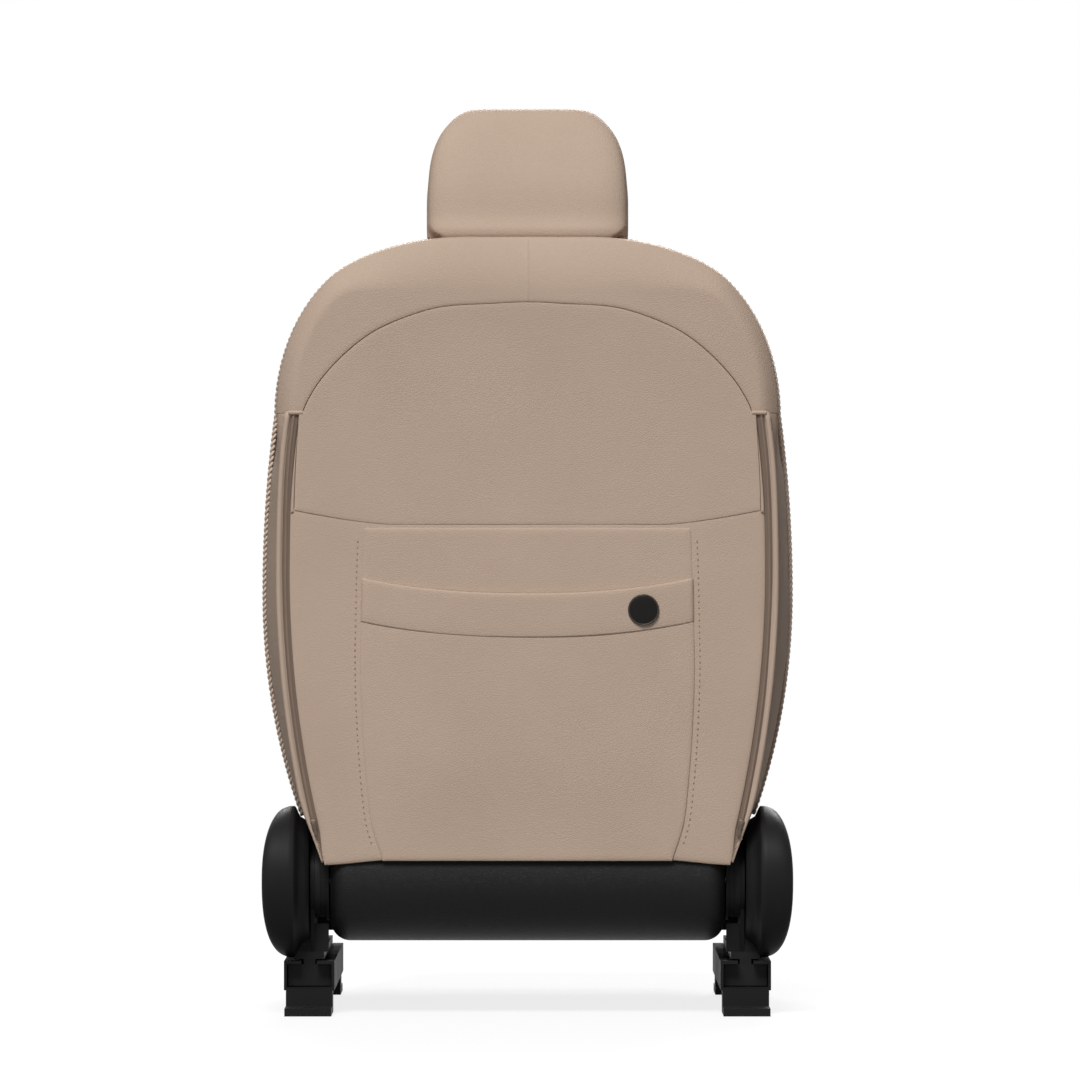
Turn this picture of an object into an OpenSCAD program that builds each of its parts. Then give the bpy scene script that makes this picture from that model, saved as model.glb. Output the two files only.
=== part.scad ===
// Car seat dressed in a fitted leatherette cover set.
// +X is to the right and +Y to the front of the seat, and the seat is seen from behind.
// The origin lies on the floor, at the centre of the four floor bolt holes.

/* [Backrest cover] */
// Width over the piping at the widest place
back_w = 550; // [500:1:600]
// Height of the backrest's top edge above the floor
back_top = 800; // [760:1:840]
// Distance of the flat rear face behind the origin
back_rear = 215; // [205:1:230]
// Height at which the backrest is widest
widest_z = 430; // [400:1:460]
// Height at which the sides turn into the shoulders
shoulder_z = 618; // [590:1:640]
// Half width of the straight top edge between the shoulders
top_flat = 110; // [80:1:140]
// Height of the rear hem
hem_z = 158; // [150:1:168]
// Height of the lower edge of the sides and the front
skirt_z = 172; // [170:1:185]
// Height of the seam across the rear, above the pocket
cross_seam_z = 504; // [480:1:530]
// Distance of the piping in front of the rear face, at the lower edge
depth_low = 115; // [105:1:118]
// Distance of the piping in front of the rear face, at the top
depth_top = 74; // [70:1:90]
// How far the front crowns in front of the piping
front_crown = 26; // [16:1:28]
// Thickness of the leatherette with its backing foam
cover_t = 3; // [2:0.5:4]
// Radius of the piping cord
pipe_r = 3.5; // [2.5:0.25:4]

/* [Zips] */
// Distance of the zip line from the centre plane at its widest
zip_x = 248.5; // [246:0.5:252]
// Radius of the arc that each zip follows
zip_arc_r = 1150; // [1000:10:1400]
// Width of the zip
zip_w = 9; // [7:0.5:10]
// Height at which the sliders are parked
slider_z = 196; // [185:1:300]

/* [Pocket] */
// Width of the pocket at its mouth
pocket_w = 339; // [300:1:360]
// Height of the pocket's mouth at its sides
pocket_mouth_z = 449; // [430:1:465]
// How far the mouth sags in the middle
pocket_sag = 15; // [8:1:22]
// Height of the elastic band along the mouth
band_h = 45; // [35:1:55]
// Inner depth of the pocket
pocket_gap = 8; // [6:0.5:12]
// Radius of the plain round badge
badge_r = 16; // [12:0.5:20]

/* [Headrest] */
// Width of the headrest
headrest_w = 208; // [190:1:230]
// Height of the headrest's top above the floor
headrest_top = 935; // [915:1:955]
// Distance between the two posts
post_gap = 140; // [110:1:160]
// Radius of a post
post_r = 6; // [5:0.25:7]

/* [Cushion] */
// Width of the cushion
cushion_w = 484; // [470:1:490]
// Front edge of the cushion, ahead of the origin
cushion_front = 370; // [340:1:400]
// Height of the cushion's crown
cushion_top = 318; // [300:1:330]
// Rise of the cushion from its rear to its front
cushion_rise = 22; // [10:1:30]

/* [Recliner and roll] */
// Distance of the recline axis behind the origin
pivot_back = 150; // [146:1:154]
// Height of the recline axis
pivot_z = 137; // [132:1:141]
// Radius of the black roll around the recline axis
roll_r = 63; // [56:0.5:63]
// Half length of the black roll
roll_half = 203; // [190:1:203]
// Radius of a recliner disc
recliner_r = 39; // [34:0.5:42]
// Radius of the recliner's bearing
bearing_r = 9; // [7:0.5:11]

/* [Base] */
// Distance between the two rails
rail_gap = 450; // [448:1:456]
// Distance between the front and rear floor bolts
bolt_gap = 410; // [390:1:430]
// Radius of a floor bolt hole
bolt_r = 5.5; // [4.5:0.25:6.5]
// Length of a lower rail
rail_len = 360; // [330:1:370]
// Radius of the round rear end of a side valance
valance_r = 76; // [73:0.5:78]
// Width over both side valances
valance_w = 545; // [536:1:552]

/* [Hidden] */
$fn = 64;
// Clearance between pieces that lie against each other
gap = 0.6;
// Running clearance of a shaft in its bore
run_gap = 0.05;
pivot_y = -pivot_back;
rear_y = -back_rear;
rail_x = rail_gap / 2;
bolt_y = bolt_gap / 2;
pipe_x = back_w / 2 - pipe_r;
pipe_side_upper_r = 1395;
pipe_side_lower_r = 690;
shoulder_end = 0.6;
// Exponents of the shoulder's curve along X and along Z
shoulder_run = 1.5;
shoulder_rise = 2.7;
arch_base_z = shoulder_z - 18;
arch_rx = zip_x - 15.5;
arch_rise = back_top - 65 - arch_base_z;
arch_start = asin((shoulder_z - arch_base_z) / arch_rise);
zip_mid_z = widest_z + 25;
zip_top_z = shoulder_z - gap;
bolster_u = 0.56;
sweep_r = roll_r + 3;
axis_span = 700;

// Distance from an arc's crest line, for an arc of radius r that crests at x0
function arc_x(x0, r, d) = x0 - r + sqrt(r * r - d * d);
// Half width to the piping at height z, below the shoulder
function side_x(z) = arc_x(pipe_x, z > widest_z ? pipe_side_upper_r : pipe_side_lower_r, z - widest_z);
// Half width to the zip's middle at height z
function zip_at(z) = arc_x(zip_x, zip_arc_r, z - zip_mid_z);
// Y of the piping at height z
function pipe_y(z) = rear_y + depth_low + (depth_top - depth_low) * (z - skirt_z) / (back_top - skirt_z);
// Half width to the piping at any height
function pipe_half(z) = z <= shoulder_z ? side_x(z)
    : top_flat + (side_x(shoulder_z) - top_flat) * pow(max(0,
        1 - pow((z - shoulder_z) / (back_top - shoulder_z), shoulder_rise)), 1 / shoulder_run);
// Piping along shoulder and top, q from 0 at the shoulder to 1 at the middle, as [x, z]
function pipe_arch(q) = q < shoulder_end
    ? [top_flat + (side_x(shoulder_z) - top_flat) * pow(cos(90 * q / shoulder_end), 2 / shoulder_run),
       shoulder_z + (back_top - shoulder_z) * pow(sin(90 * q / shoulder_end), 2 / shoulder_rise)]
    : [top_flat * (1 - q) / (1 - shoulder_end), back_top];
// Arched seam between the yoke and the rear panel, as [x, z]
function arch(q) = let (a = arch_start + (90 - arch_start) * (1 - pow(1 - q, 1.6)))
    [arch_rx * cos(a), arch_base_z + arch_rise * sin(a)];
// A point of the band between a rear edge and the piping, straight at n = 1 and round at n = 2
function band(rear, front, s, n, y0, y1) =
    let (f = pow(sin(90 * s), 2 / n), g = 1 - pow(cos(90 * s), 2 / n))
    [rear.x + (front.x - rear.x) * f, y0 + (y1 - y0) * g, rear.y + (front.y - rear.y) * f];
function toward(a, b, d) = b - d * (b - a) / norm(b - a);
function mirror_x(side, p) = [side * p.x, p.y, p.z];
function steps(a, b, n) = [for (i = [0:n]) a + (b - a) * i / n];

// Faces of a grid of points, of a loop round it, and of a closed skin between two grids
function grid_faces(nr, nc, off, back) = [for (i = [0:nr - 2], j = [0:nc - 2])
    each let (a = off + i * nc + j, b = a + 1, c = a + nc + 1, d = a + nc)
    back ? [[a, c, b], [a, d, c]] : [[a, b, c], [a, c, d]]];
function grid_rim(nr, nc) = concat([for (j = [0:nc - 1]) j], [for (i = [1:nr - 1]) i * nc + nc - 1],
    [for (j = [nc - 2:-1:0]) (nr - 1) * nc + j], [for (i = [nr - 2:-1:1]) i * nc]);
function flat(rows) = [for (r = rows) each r];

// Closed skin between an outer and an inner grid of points
module skin(outer, inner, back = false) {
    nr = len(outer);
    nc = len(outer[0]);
    n = nr * nc;
    loop = grid_rim(nr, nc);
    m = len(loop);
    rim = [for (k = [0:m - 1]) each let (a = loop[k], b = loop[(k + 1) % m])
        back ? [[a, b, n + a], [b, n + b, n + a]] : [[a, n + a, b], [b, n + a, n + b]]];
    polyhedron(concat(flat(outer), flat(inner)),
        concat(grid_faces(nr, nc, 0, back), grid_faces(nr, nc, n, !back), rim));
}

// Faces between closed rings of nc points
function ring_faces(nr, nc) = [for (i = [0:nr - 2], j = [0:nc - 1])
    each let (a = i * nc + j, b = i * nc + (j + 1) % nc, c = b + nc, d = a + nc) [[a, c, b], [a, d, c]]];

// Solid through a list of closed rings, with a middle point at each end
module loft(rings) {
    nr = len(rings);
    nc = len(rings[0]);
    n = nr * nc;
    ends = [for (r = [rings[0], rings[nr - 1]]) [for (k = [0:2]) [for (p = r) p[k]] * [for (p = r) 1] /
        nc]];
    caps = [for (j = [0:nc - 1]) each let (k = (j + 1) % nc)
        [[n, j, k], [n + 1, (nr - 1) * nc + k, (nr - 1) * nc + j]]];
    polyhedron(concat(flat(rings), ends), concat(ring_faces(nr, nc), caps));
}

// Round cord of radius r along points that run from end to end, or round and back when closed
module cord(path, r, sides = 8, closed = false) {
    n = len(path);
    rings = [for (i = [0:n - 1]) let (
        before = path[closed ? (i + n - 1) % n : max(i - 1, 0)],
        after = path[closed ? (i + 1) % n : min(i + 1, n - 1)],
        t = (after - before) / norm(after - before),
        u0 = cross(t, [0, 1, 0.001]),
        u = u0 / norm(u0),
        v = cross(t, u))
        [for (k = [0:sides - 1]) path[i] + r * (cos(360 * k / sides) * u + sin(360 * k / sides) * v)]];
    if (closed)
        hoop(rings);
    else
        loft(rings);
}

// Closed surface through rings that come back to the first ring
module hoop(rings) {
    nr = len(rings);
    nc = len(rings[0]);
    polyhedron(flat(rings), [for (i = [0:nr - 1], j = [0:nc - 1])
        each let (a = i * nc + j, b = i * nc + (j + 1) % nc, c = (i + 1) % nr * nc + (j + 1) % nc,
            d = (i + 1) % nr * nc + j)
        [[a, c, b], [a, d, c]]]);
}

// Shapes along X, centred on the recline axis or on a given place
module along_x(r, x0, x1, y = pivot_y, z = pivot_z) {
    translate([x0, y, z]) rotate([0, 90, 0]) cylinder(r = r, h = x1 - x0);
}
// Flat outline in X and Z, given thickness t to the front of y
module plate_xz(points, y, t) {
    translate([0, y + t, 0]) rotate([90, 0, 0]) linear_extrude(t) polygon(points);
}
// Flat outline in Y and Z, between two distances from the centre plane, on one side
module plate_yz(side, x0, x1) {
    mirror([side < 0 ? 1 : 0, 0, 0]) translate([x0, 0, 0]) rotate([90, 0,
        90]) linear_extrude(x1 - x0) children();
}
module both_sides() {
    for (side = [-1, 1]) mirror([side < 0 ? 1 : 0, 0, 0]) children();
}

// Rails and feet
foot_w = 48;
foot_t = 8;
foot_lap = 36;
foot_end = 22;
rail_z = 24;
rail_w = 52;
rail_h = 30;
rail_wall = 3;
rail_slot = 16;
rail_top = rail_z + rail_h;
slide_gap = 1;
slider_len = rail_len - 30;
slider_top = rail_top + 9;
slider_w = 30;
slider_plate = 7.5;

module lower_rail(side) {
    inner = rail_w - 2 * rail_wall;
    color("#2a2a2b") translate([side * rail_x, rail_len / 2, rail_z]) rotate([90, 0,
        0]) linear_extrude(rail_len)
        difference() {
            translate([-rail_w / 2, 0]) square([rail_w, rail_h]);
            translate([-inner / 2, rail_wall]) square([inner, rail_h - 2 * rail_wall]);
            translate([-rail_slot / 2, rail_wall]) square([rail_slot, rail_h]);
        }
}

// A foot laps under the end of its rail, and its bolt hole lies clear of the rail
module foot(side, front) {
    end = bolt_y + foot_end;
    start = rail_len / 2 - foot_lap;
    color("#232324") difference() {
        union() {
            translate([side * rail_x - foot_w / 2, front > 0 ? start : -end, 0]) cube([foot_w,
                end - start, foot_t]);
            translate([side * rail_x - foot_w / 2, front > 0 ? start : -start - foot_lap, 0])
                cube([foot_w, foot_lap, rail_z - gap / 10]);
        }
        translate([side * rail_x, front * bolt_y, -1]) cylinder(r = bolt_r, h = foot_t + 2);
    }
}

module upper_rail(side) {
    shoe_w = rail_w - 2 * rail_wall - 2 * slide_gap;
    stem_w = rail_slot - 4 * slide_gap;
    shoe_z = rail_z + rail_wall + slide_gap;
    shoe_h = rail_h - 2 * rail_wall - 2 * slide_gap;
    color("#8d8f92") translate([side * rail_x, 0, 0]) {
        translate([-shoe_w / 2, -slider_len / 2, shoe_z]) cube([shoe_w, slider_len, shoe_h]);
        translate([-stem_w / 2, -slider_len / 2, shoe_z + shoe_h]) cube([stem_w, slider_len,
            slider_top - shoe_z - shoe_h]);
        translate([-slider_w / 2, -slider_len / 2, slider_top - slider_plate]) cube([slider_w,
            slider_len, slider_plate]);
    }
}

// Recliner stack on each side, from the roll's end outward
stack_gap = 0.2;
plate_in = roll_half + 1.5;
plate_t = 3;
hub_in = plate_in + plate_t + stack_gap / 2;
hub_t = 5.8;
disc_in = hub_in + hub_t + stack_gap;
disc_t = 5.8;
member_in = disc_in + disc_t + stack_gap;
member_t = 4;
member_out = member_in + member_t;
member_boss = recliner_r + 2;
member_front_z = 126;

flange_top = pivot_z - member_boss - 4;
flange_t = 3;
flange_clear = 5;
flange_rise = 15;
module side_member(side) {
    flange_z = slider_top + gap / 10;
    color("#303133") mirror([side < 0 ? 1 : 0, 0, 0])
        plate_xz([[plate_in + gap, flange_z], [valance_rim_x - flange_clear, flange_z],
            [valance_lip_x + flange_clear / 3, flange_z + flange_rise], [member_out, flange_top - flange_clear],
            [member_out, flange_top], [plate_in + gap, flange_top]], -slider_len / 2, flange_t);
    color("#303133") difference() {
        plate_yz(side, member_in, member_out) union() {
            translate([pivot_y, pivot_z]) circle(member_boss);
            polygon([[-slider_len / 2, slider_top + gap / 10], [slider_len / 2, slider_top + gap / 10],
                [slider_len / 2, member_front_z], [pivot_y + member_boss, member_front_z + 6],
                [pivot_y, pivot_z], [pivot_y - member_boss * 0.7, pivot_z - member_boss * 0.7]]);
        }
        mirror([side < 0 ? 1 : 0, 0, 0]) {
            along_x(bearing_r, member_in - 1, member_out + 1);
            along_x(lever_pin_r + run_gap, member_in - 1, member_out + 1, lever_y, lever_z);
            along_x(bar_r + run_gap, member_in - 1, member_out + 1, bar_y, bar_z);
            along_x(tube_r + gap / 2, member_in - 1, member_out + 1, front_tube_y, tube_z);
            along_x(tube_r + gap / 2, member_in - 1, member_out + 1, rear_tube_y, tube_z);
        }
    }
}

// Fixed half of a recliner, with the bearing for the hub's shaft
module recliner(side) {
    color("#77797c") mirror([side < 0 ? 1 : 0, 0, 0]) difference() {
        union() {
            along_x(recliner_r, disc_in, disc_in + disc_t);
            along_x(bearing_r + 4, disc_in, disc_in + disc_t);
        }
        along_x(bearing_r, disc_in - 1, disc_in + disc_t + 1);
    }
}

// Cross tubes and pan that carry the cushion
tube_r = 11;
tube_z = 90;
front_tube_y = 130;
rear_tube_y = -40;
pan_z = tube_z + tube_r + gap / 2;
pan_t = 3;
pan_rear = -52;
pan_front = 250;
module cross_tube(y) {
    color("#3a3b3d") difference() {
        along_x(tube_r, -member_out, member_out, y, tube_z);
        along_x(tube_r - 2, -member_out - 1, member_out + 1, y, tube_z);
    }
}
module cushion_pan() {
    half = member_in - gap;
    color("#4a4b4d") translate([-half, pan_rear, pan_z]) cube([2 * half, pan_front - pan_rear, pan_t]);
}

// Black roll behind the cushion, round the recline axis, with the tongue that ties it to the cushion
rod_r = 6;
roll_bore = rod_r + 3;
roll_end_r = 18;
tongue_t = 5;
tongue_z = pan_z + pan_t + gap / 2;
module rear_roll() {
    color("#1d1d1e") difference() {
        union() {
            translate([0, pivot_y, pivot_z]) rotate([0, 90, 0]) rotate_extrude() {
                translate([0, -roll_half]) square([roll_r - roll_end_r, 2 * roll_half]);
                translate([0, roll_end_r - roll_half]) square([roll_r, 2 * (roll_half - roll_end_r)]);
                for (e = [-1, 1]) translate([roll_r - roll_end_r,
                    e * (roll_half - roll_end_r)]) circle(roll_end_r);
            }
            translate([roll_end_r - roll_half, pivot_y + roll_bore, tongue_z])
                cube([2 * (roll_half - roll_end_r), pan_rear + 40 - pivot_y - roll_bore, tongue_t]);
        }
        along_x(roll_bore, -roll_half - 1, roll_half + 1);
    }
}

// Edges of the side valances, from the centre plane
valance_rim_x = 243;
valance_lip_x = member_out + 4;

// Cushion, as rings that are set in from its plan and stacked from the bottom up
cushion_rear = -60;
cushion_len = cushion_front - cushion_rear;
cushion_y = (cushion_front + cushion_rear) / 2;
foam_z = tongue_z + tongue_t + gap;
skirt_low = foam_z + 2;
cushion_pipe_z = cushion_top - 32;
ring_n = 40;
function sign_pow(v, e) = sign(v) * pow(abs(v), e);
function cushion_ring(inset, z) = [for (k = [0:ring_n - 1]) let (
    a = 360 * (k + 0.5) / ring_n,
    y = cushion_y + (cushion_len / 2 - inset) * sign_pow(sin(a), 0.4),
    rise = cushion_rise * (z - foam_z) / (cushion_top - foam_z) * (y - cushion_rear) / cushion_len)
    [(cushion_w / 2 - inset) * sign_pow(cos(a), 0.4), y, z + rise]];
// Inset and height of the drawn-in sides, and of the crown
member_clear = 3;
low_inset = cushion_w / 2 - member_in + member_clear;
lip_inset = cushion_w / 2 - valance_lip_x + 2 * member_clear;
valance_high = pivot_z + valance_r;
side_rows = [[low_inset, skirt_low], [low_inset, skirt_low + 24], [lip_inset, valance_high - 8],
    [lip_inset / 2, valance_high + 22], [0.5, cushion_pipe_z - 24], [0.5, cushion_pipe_z - pipe_r - gap]];
crown_rows = [[0.5, cushion_pipe_z + pipe_r + gap], [6, cushion_pipe_z + 11], [24, cushion_top - 12],
    [70, cushion_top - 4], [150, cushion_top]];
module cushion_cover_skirt() {
    n = len(side_rows);
    color("#b49c8a") hoop(concat(
        [for (i = [0:n - 1]) cushion_ring(side_rows[i][0], side_rows[i][1])],
        [for (i = [n - 1:-1:0]) cushion_ring(side_rows[i][0] + cover_t, side_rows[i][1])]));
}
module cushion_cover_top() {
    n = len(crown_rows);
    color("#b49c8a") loft(concat(
        [for (i = [n - 1:-1:0]) cushion_ring(crown_rows[i][0] + (i < 2 ? cover_t : 0),
            max(crown_rows[i][1] - (i < 2 ? 0.5 : 1) * cover_t, crown_rows[0][1]))],
        [for (i = [0:n - 1]) cushion_ring(crown_rows[i][0], crown_rows[i][1])]));
}
module cushion_foam() {
    d = cover_t + gap;
    n = len(crown_rows);
    color("#d8cfae") loft(concat([cushion_ring(side_rows[0][0] + d, foam_z)],
        [for (r = side_rows) cushion_ring(r[0] + d + 0.6, r[1])],
        [for (i = [1:n - 1]) cushion_ring(crown_rows[i][0] + (i < 2 ? d + 4 : 2),
            crown_rows[i][1] - (i < 2 ? 10 : 1.4 * d))]));
}
module cushion_piping() {
    color("#c9b3a0") cord(cushion_ring(1, cushion_pipe_z), pipe_r, 6, true);
}

// Side valance: a bowl round the recline axis that runs forward, with a lip turned in behind it
valance_lip = 0.72;
valance_wall = 3;
valance_front = 190;
valance_front_r = 44;
valance_front_z = 108;
valance_bulge = valance_w / 2 - valance_rim_x;
valance_front_bulge = 0.44 * valance_bulge;
arc_steps = 12;
line_steps = 6;
line_f = [for (k = [1:line_steps]) k / (line_steps + 1)];
// Where each ring point sits along the bowl's spine, and its direction from the spine, seen from outside
valance_spine = concat([for (k = [0:arc_steps]) 0], line_f, [for (k = [0:arc_steps]) 1],
    [for (f = line_f) 1 - f]);
valance_turn = concat(steps(90, 270, arc_steps), [for (f = line_f) 270], steps(-90, 90, arc_steps),
    [for (f = line_f) 90]);
function valance_pt(f, a, rho, depth) =
    let (r = valance_r + (valance_front_r - valance_r) * f,
        bulge = valance_bulge + (valance_front_bulge - valance_bulge) * f)
    [valance_rim_x + (depth < 0 ? depth : depth * bulge),
     pivot_y + (valance_front - valance_front_r - pivot_y) * f + rho * r * cos(a),
     pivot_z + (valance_front_z - pivot_z) * f + rho * r * sin(a)];
function valance_ring(rho, depth) = [for (i = [0:len(valance_spine) - 1])
    valance_pt(valance_spine[i], valance_turn[i], rho, depth)];
// Distance from the spine and height of the bowl along its rounded wall
function bowl(t) = [pow(cos(t), 0.833), pow(sin(t), 0.833)];
bowl_turns = [8, 20, 34, 50, 66, 78];
boss_r = 7;
boss_places = [0.2, 0.72];
module side_valance(side) {
    wall_in = 1 - valance_wall / valance_r;
    wall_down = 1 - valance_wall / valance_bulge;
    lip = valance_lip_x - valance_rim_x;
    n = len(bowl_turns);
    color("#202021") mirror([side < 0 ? 1 : 0, 0, 0]) difference() {
        union() {
            loft(concat(
                [for (k = [n - 1:-1:0]) let (b = bowl(bowl_turns[k])) valance_ring(b.x * wall_in,
                    b.y * wall_down)],
                [valance_ring(valance_lip + 0.02, lip + valance_wall), valance_ring(valance_lip, lip),
                    valance_ring(1, 0)],
                [for (t = bowl_turns) let (b = bowl(t)) valance_ring(b.x, b.y)]));
            for (f = boss_places) let (end = valance_pt(f, -90, 0.5, bowl(60).y))
                along_x(boss_r, member_out + gap, end.x - valance_wall / 2, end.y, end.z);
        }
        if (side < 0) along_x(lever_pin_r + 1.5, valance_lip_x, valance_w, lever_y, lever_z);
    }
}

// Recline lever on the left, outside the narrow front of its valance
lever_pin_r = 5;
lever_y = 60;
lever_z = 117;
lever_hub_r = 14;
lever_len = 120;
lever_t = 9;
lever_clear = 2;
lever_f = (lever_y - pivot_y) / (valance_front - valance_front_r - pivot_y);
lever_in = valance_pt(lever_f, 90, 0, 1).x + lever_clear;
module recline_lever() {
    color("#2b2b2c") mirror([1, 0, 0]) {
        along_x(lever_pin_r, member_in, lever_in + 1, lever_y, lever_z);
        along_x(lever_hub_r, lever_in, lever_in + lever_t, lever_y, lever_z);
        translate([lever_in, lever_y, lever_z - lever_hub_r * 0.7]) cube([lever_t, lever_len,
            lever_hub_r * 1.4]);
        along_x(lever_hub_r * 0.7, lever_in, lever_in + lever_t, lever_y + lever_len, lever_z);
    }
}

// Bar under the front edge that frees the rails when it is lifted
bar_r = 5;
bar_y = 150;
bar_z = 76;
bar_front = 330;
bar_drop = 12;
bar_half = 160;
module slide_bar() {
    arm = norm([bar_front - bar_y, bar_drop]);
    tilt = atan2(bar_drop, bar_front - bar_y);
    color("#56585b") {
        along_x(bar_r, -member_out, member_out, bar_y, bar_z);
        along_x(bar_r, -bar_half, bar_half, bar_front, bar_z - bar_drop);
        for (x = [-bar_half, bar_half]) {
            translate([x, bar_y, bar_z]) rotate([-90 - tilt, 0, 0]) cylinder(r = bar_r, h = arm);
            translate([x, bar_front, bar_z - bar_drop]) sphere(bar_r);
        }
    }
}

// Backrest frame
frame_y0 = rear_y + 22;
frame_y1 = rear_y + 62;
frame_top = 560;
frame_bend_z = 300;
frame_boss = recliner_r + 3;
module back_frame_side(side) {
    color("#3a3b3d") difference() {
        plate_yz(side, plate_in, plate_in + plate_t) union() {
            translate([pivot_y, pivot_z]) circle(frame_boss);
            polygon([[pivot_y - frame_boss * 0.94, pivot_z + 14], [pivot_y + frame_boss, pivot_z],
                [frame_y1 + 6, frame_bend_z], [frame_y1, frame_top], [frame_y0, frame_top], [frame_y0,
                    frame_bend_z]]);
        }
        mirror([side < 0 ? 1 : 0, 0, 0]) {
            along_x(rod_r, plate_in - 1, plate_in + plate_t + 1);
            along_x(frame_tube_r + gap / 2, plate_in - 1, plate_in + plate_t + 1, post_y, frame_tube_z);
            along_x(frame_tube_r + gap / 2, plate_in - 1, plate_in + plate_t + 1, lower_tube_y,
                lower_tube_z);
        }
    }
}
// Moving half of a recliner, with the shaft that turns in the fixed half
module recliner_hub(side) {
    color("#8b8d90") mirror([side < 0 ? 1 : 0, 0, 0]) {
        along_x(recliner_r, hub_in, hub_in + hub_t);
        along_x(bearing_r - run_gap, hub_in, member_out - 0.5);
    }
}
module recliner_rod() {
    color("#9a9c9f") along_x(rod_r - run_gap, -hub_in + gap, hub_in - gap);
}

// Tubes across the frame, and the sleeves that hold the headrest's posts
frame_tube_r = 9;
post_y = rear_y + 52;
frame_tube_z = frame_top - 16;
lower_tube_y = frame_y0 + 18;
lower_tube_z = 262;
sleeve_r = 10;
sleeve_low = 610;
bezel_z = back_top + 0.8;
bezel_t = 4;
bezel_half = 17;
post_x = post_gap / 2;
module frame_tube(y, z) {
    color("#3a3b3d") along_x(frame_tube_r, -plate_in - plate_t, plate_in + plate_t, y, z);
}
// Bracket from the top tube to the sleeves
bracket_lap = 26;
bracket_t = 6;
bracket_h = 180;
module sleeve_bracket() {
    half = post_x + bracket_lap;
    color("#3a3b3d") difference() {
        translate([-half, post_y - bracket_t / 2, frame_tube_z + frame_tube_r + gap]) cube([2 * half,
            bracket_t, bracket_h]);
        for (x = [-post_x, post_x])
            translate([x, post_y, frame_tube_z]) cylinder(r = sleeve_r + gap / 2, h = 2 * bracket_h);
    }
}
module headrest_sleeve(side) {
    color("#29292a") translate([side * post_x, post_y, 0]) difference() {
        union() {
            translate([0, 0, sleeve_low]) cylinder(r = sleeve_r, h = bezel_z + bezel_t - sleeve_low);
            translate([-bezel_half, -bezel_half * 0.7, bezel_z]) cube([2 * bezel_half,
                bezel_half * 1.4, bezel_t]);
        }
        translate([0, 0, sleeve_low - 1]) cylinder(r = post_r + run_gap, h = back_top);
        if (side > 0) translate([button_in, -button_w / 2 - 0.3, bezel_z - 1]) cube([bezel_half,
            button_w + 0.6, bezel_t + 2]);
    }
}
// Release button on the right sleeve, which is pushed toward its post
button_in = 11.5;
button_w = 10;
button_travel = 4;
module headrest_button() {
    color("#1c1c1d") translate([post_x + button_in + button_travel + 0.5, post_y - button_w / 2, bezel_z])
        cube([bezel_half - button_in + 1.5, button_w, bezel_t - 0.5]);
}

// Wire mat that carries the back foam
mat_y = frame_y1 - 6;
mat_z0 = 300;
mat_z1 = 520;
mat_wire = 2;
module back_spring_mat() {
    half = plate_in - 6;
    color("#a5a7a9") {
        for (x = steps(-half, half, 6)) translate([x, mat_y, mat_z0]) cylinder(r = mat_wire,
            h = mat_z1 - mat_z0);
        for (z = steps(mat_z0, mat_z1, 5)) along_x(mat_wire, -half, half, mat_y, z);
    }
}

// Outline of the backrest in X and Z, set in by d, from the rear hem to the top and back
side_n = 8;
arch_n = 8;
function half_rear(d, low) = concat(
    [for (z = steps(low, zip_top_z, side_n)) [zip_at(z) - d, z]],
    [for (q = steps(0, 1, arch_n)) let (p = arch(q)) [max(p.x - d, 0), p.y - d]]);
function half_front(d, low) = [for (z = concat(steps(low, shoulder_z, side_n), [for (a = steps(15, 90, 5))
    shoulder_z + (back_top - d - shoulder_z) * sin(a)])) [pipe_half(min(z + d, back_top)) - d, z]];
function whole(half) = concat(half, [for (i = [len(half) - 1:-1:0]) if (half[i].x > 0.01) [-half[i].x,
    half[i].y]]);
foam_in = cover_t + 2 * gap + 1;
module back_foam() {
    color("#d8cfae") difference() {
        hull() {
            plate_xz(whole(half_rear(zip_w, skirt_z + 8)), rear_y + cover_t + gap, 2);
            for (z = [skirt_z + 8, shoulder_z]) let (d = foam_in + pipe_r)
                translate([0, pipe_y(z) - 6, z]) linear_extrude(1) square([2 * (side_x(z) - d), 4],
                    center = true);
            translate([0, pipe_y(back_top) - 2, back_top - foam_in - 8]) linear_extrude(1)
                square([2 * top_flat, 4], center = true);
            for (z = [skirt_z + 8, shoulder_z]) let (y = pipe_y(z) + front_crown * 0.55 - foam_in)
                translate([0, y, z]) linear_extrude(1) square([2 * side_x(z) * 0.66, 2], center = true);
        }
        back_foam_cuts();
    }
}
// Room in the foam for the roll, the frame, the mat and the sleeves
module back_foam_cuts() {
    along_x(sweep_r, -axis_span / 2, axis_span / 2);
    both_sides() translate([plate_in - gap, frame_y0 - gap, 0]) cube([plate_t + 2 * gap, 60,
        frame_top + gap]);
    both_sides() translate([plate_in - gap, pivot_y - frame_boss, 0]) cube([plate_t + 2 * gap, 110,
        frame_bend_z + 10]);
    along_x(frame_tube_r + gap, -plate_in - plate_t - gap, plate_in + plate_t + gap, post_y, frame_tube_z);
    along_x(frame_tube_r + gap, -plate_in - plate_t - gap, plate_in + plate_t + gap, lower_tube_y,
        lower_tube_z);
    translate([-plate_in + 3, mat_y - 3, mat_z0 - 4]) cube([2 * plate_in - 6, 6, mat_z1 - mat_z0 + 8]);
    translate([-post_x - bracket_lap - 2, post_y - bracket_t / 2 - 1, frame_tube_z])
        cube([2 * (post_x + bracket_lap + 2), bracket_t + 2, bracket_h + 20]);
    for (x = [-post_x, post_x]) translate([x, post_y, sleeve_low - 130]) cylinder(r = sleeve_r + gap,
        h = axis_span);
}

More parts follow.
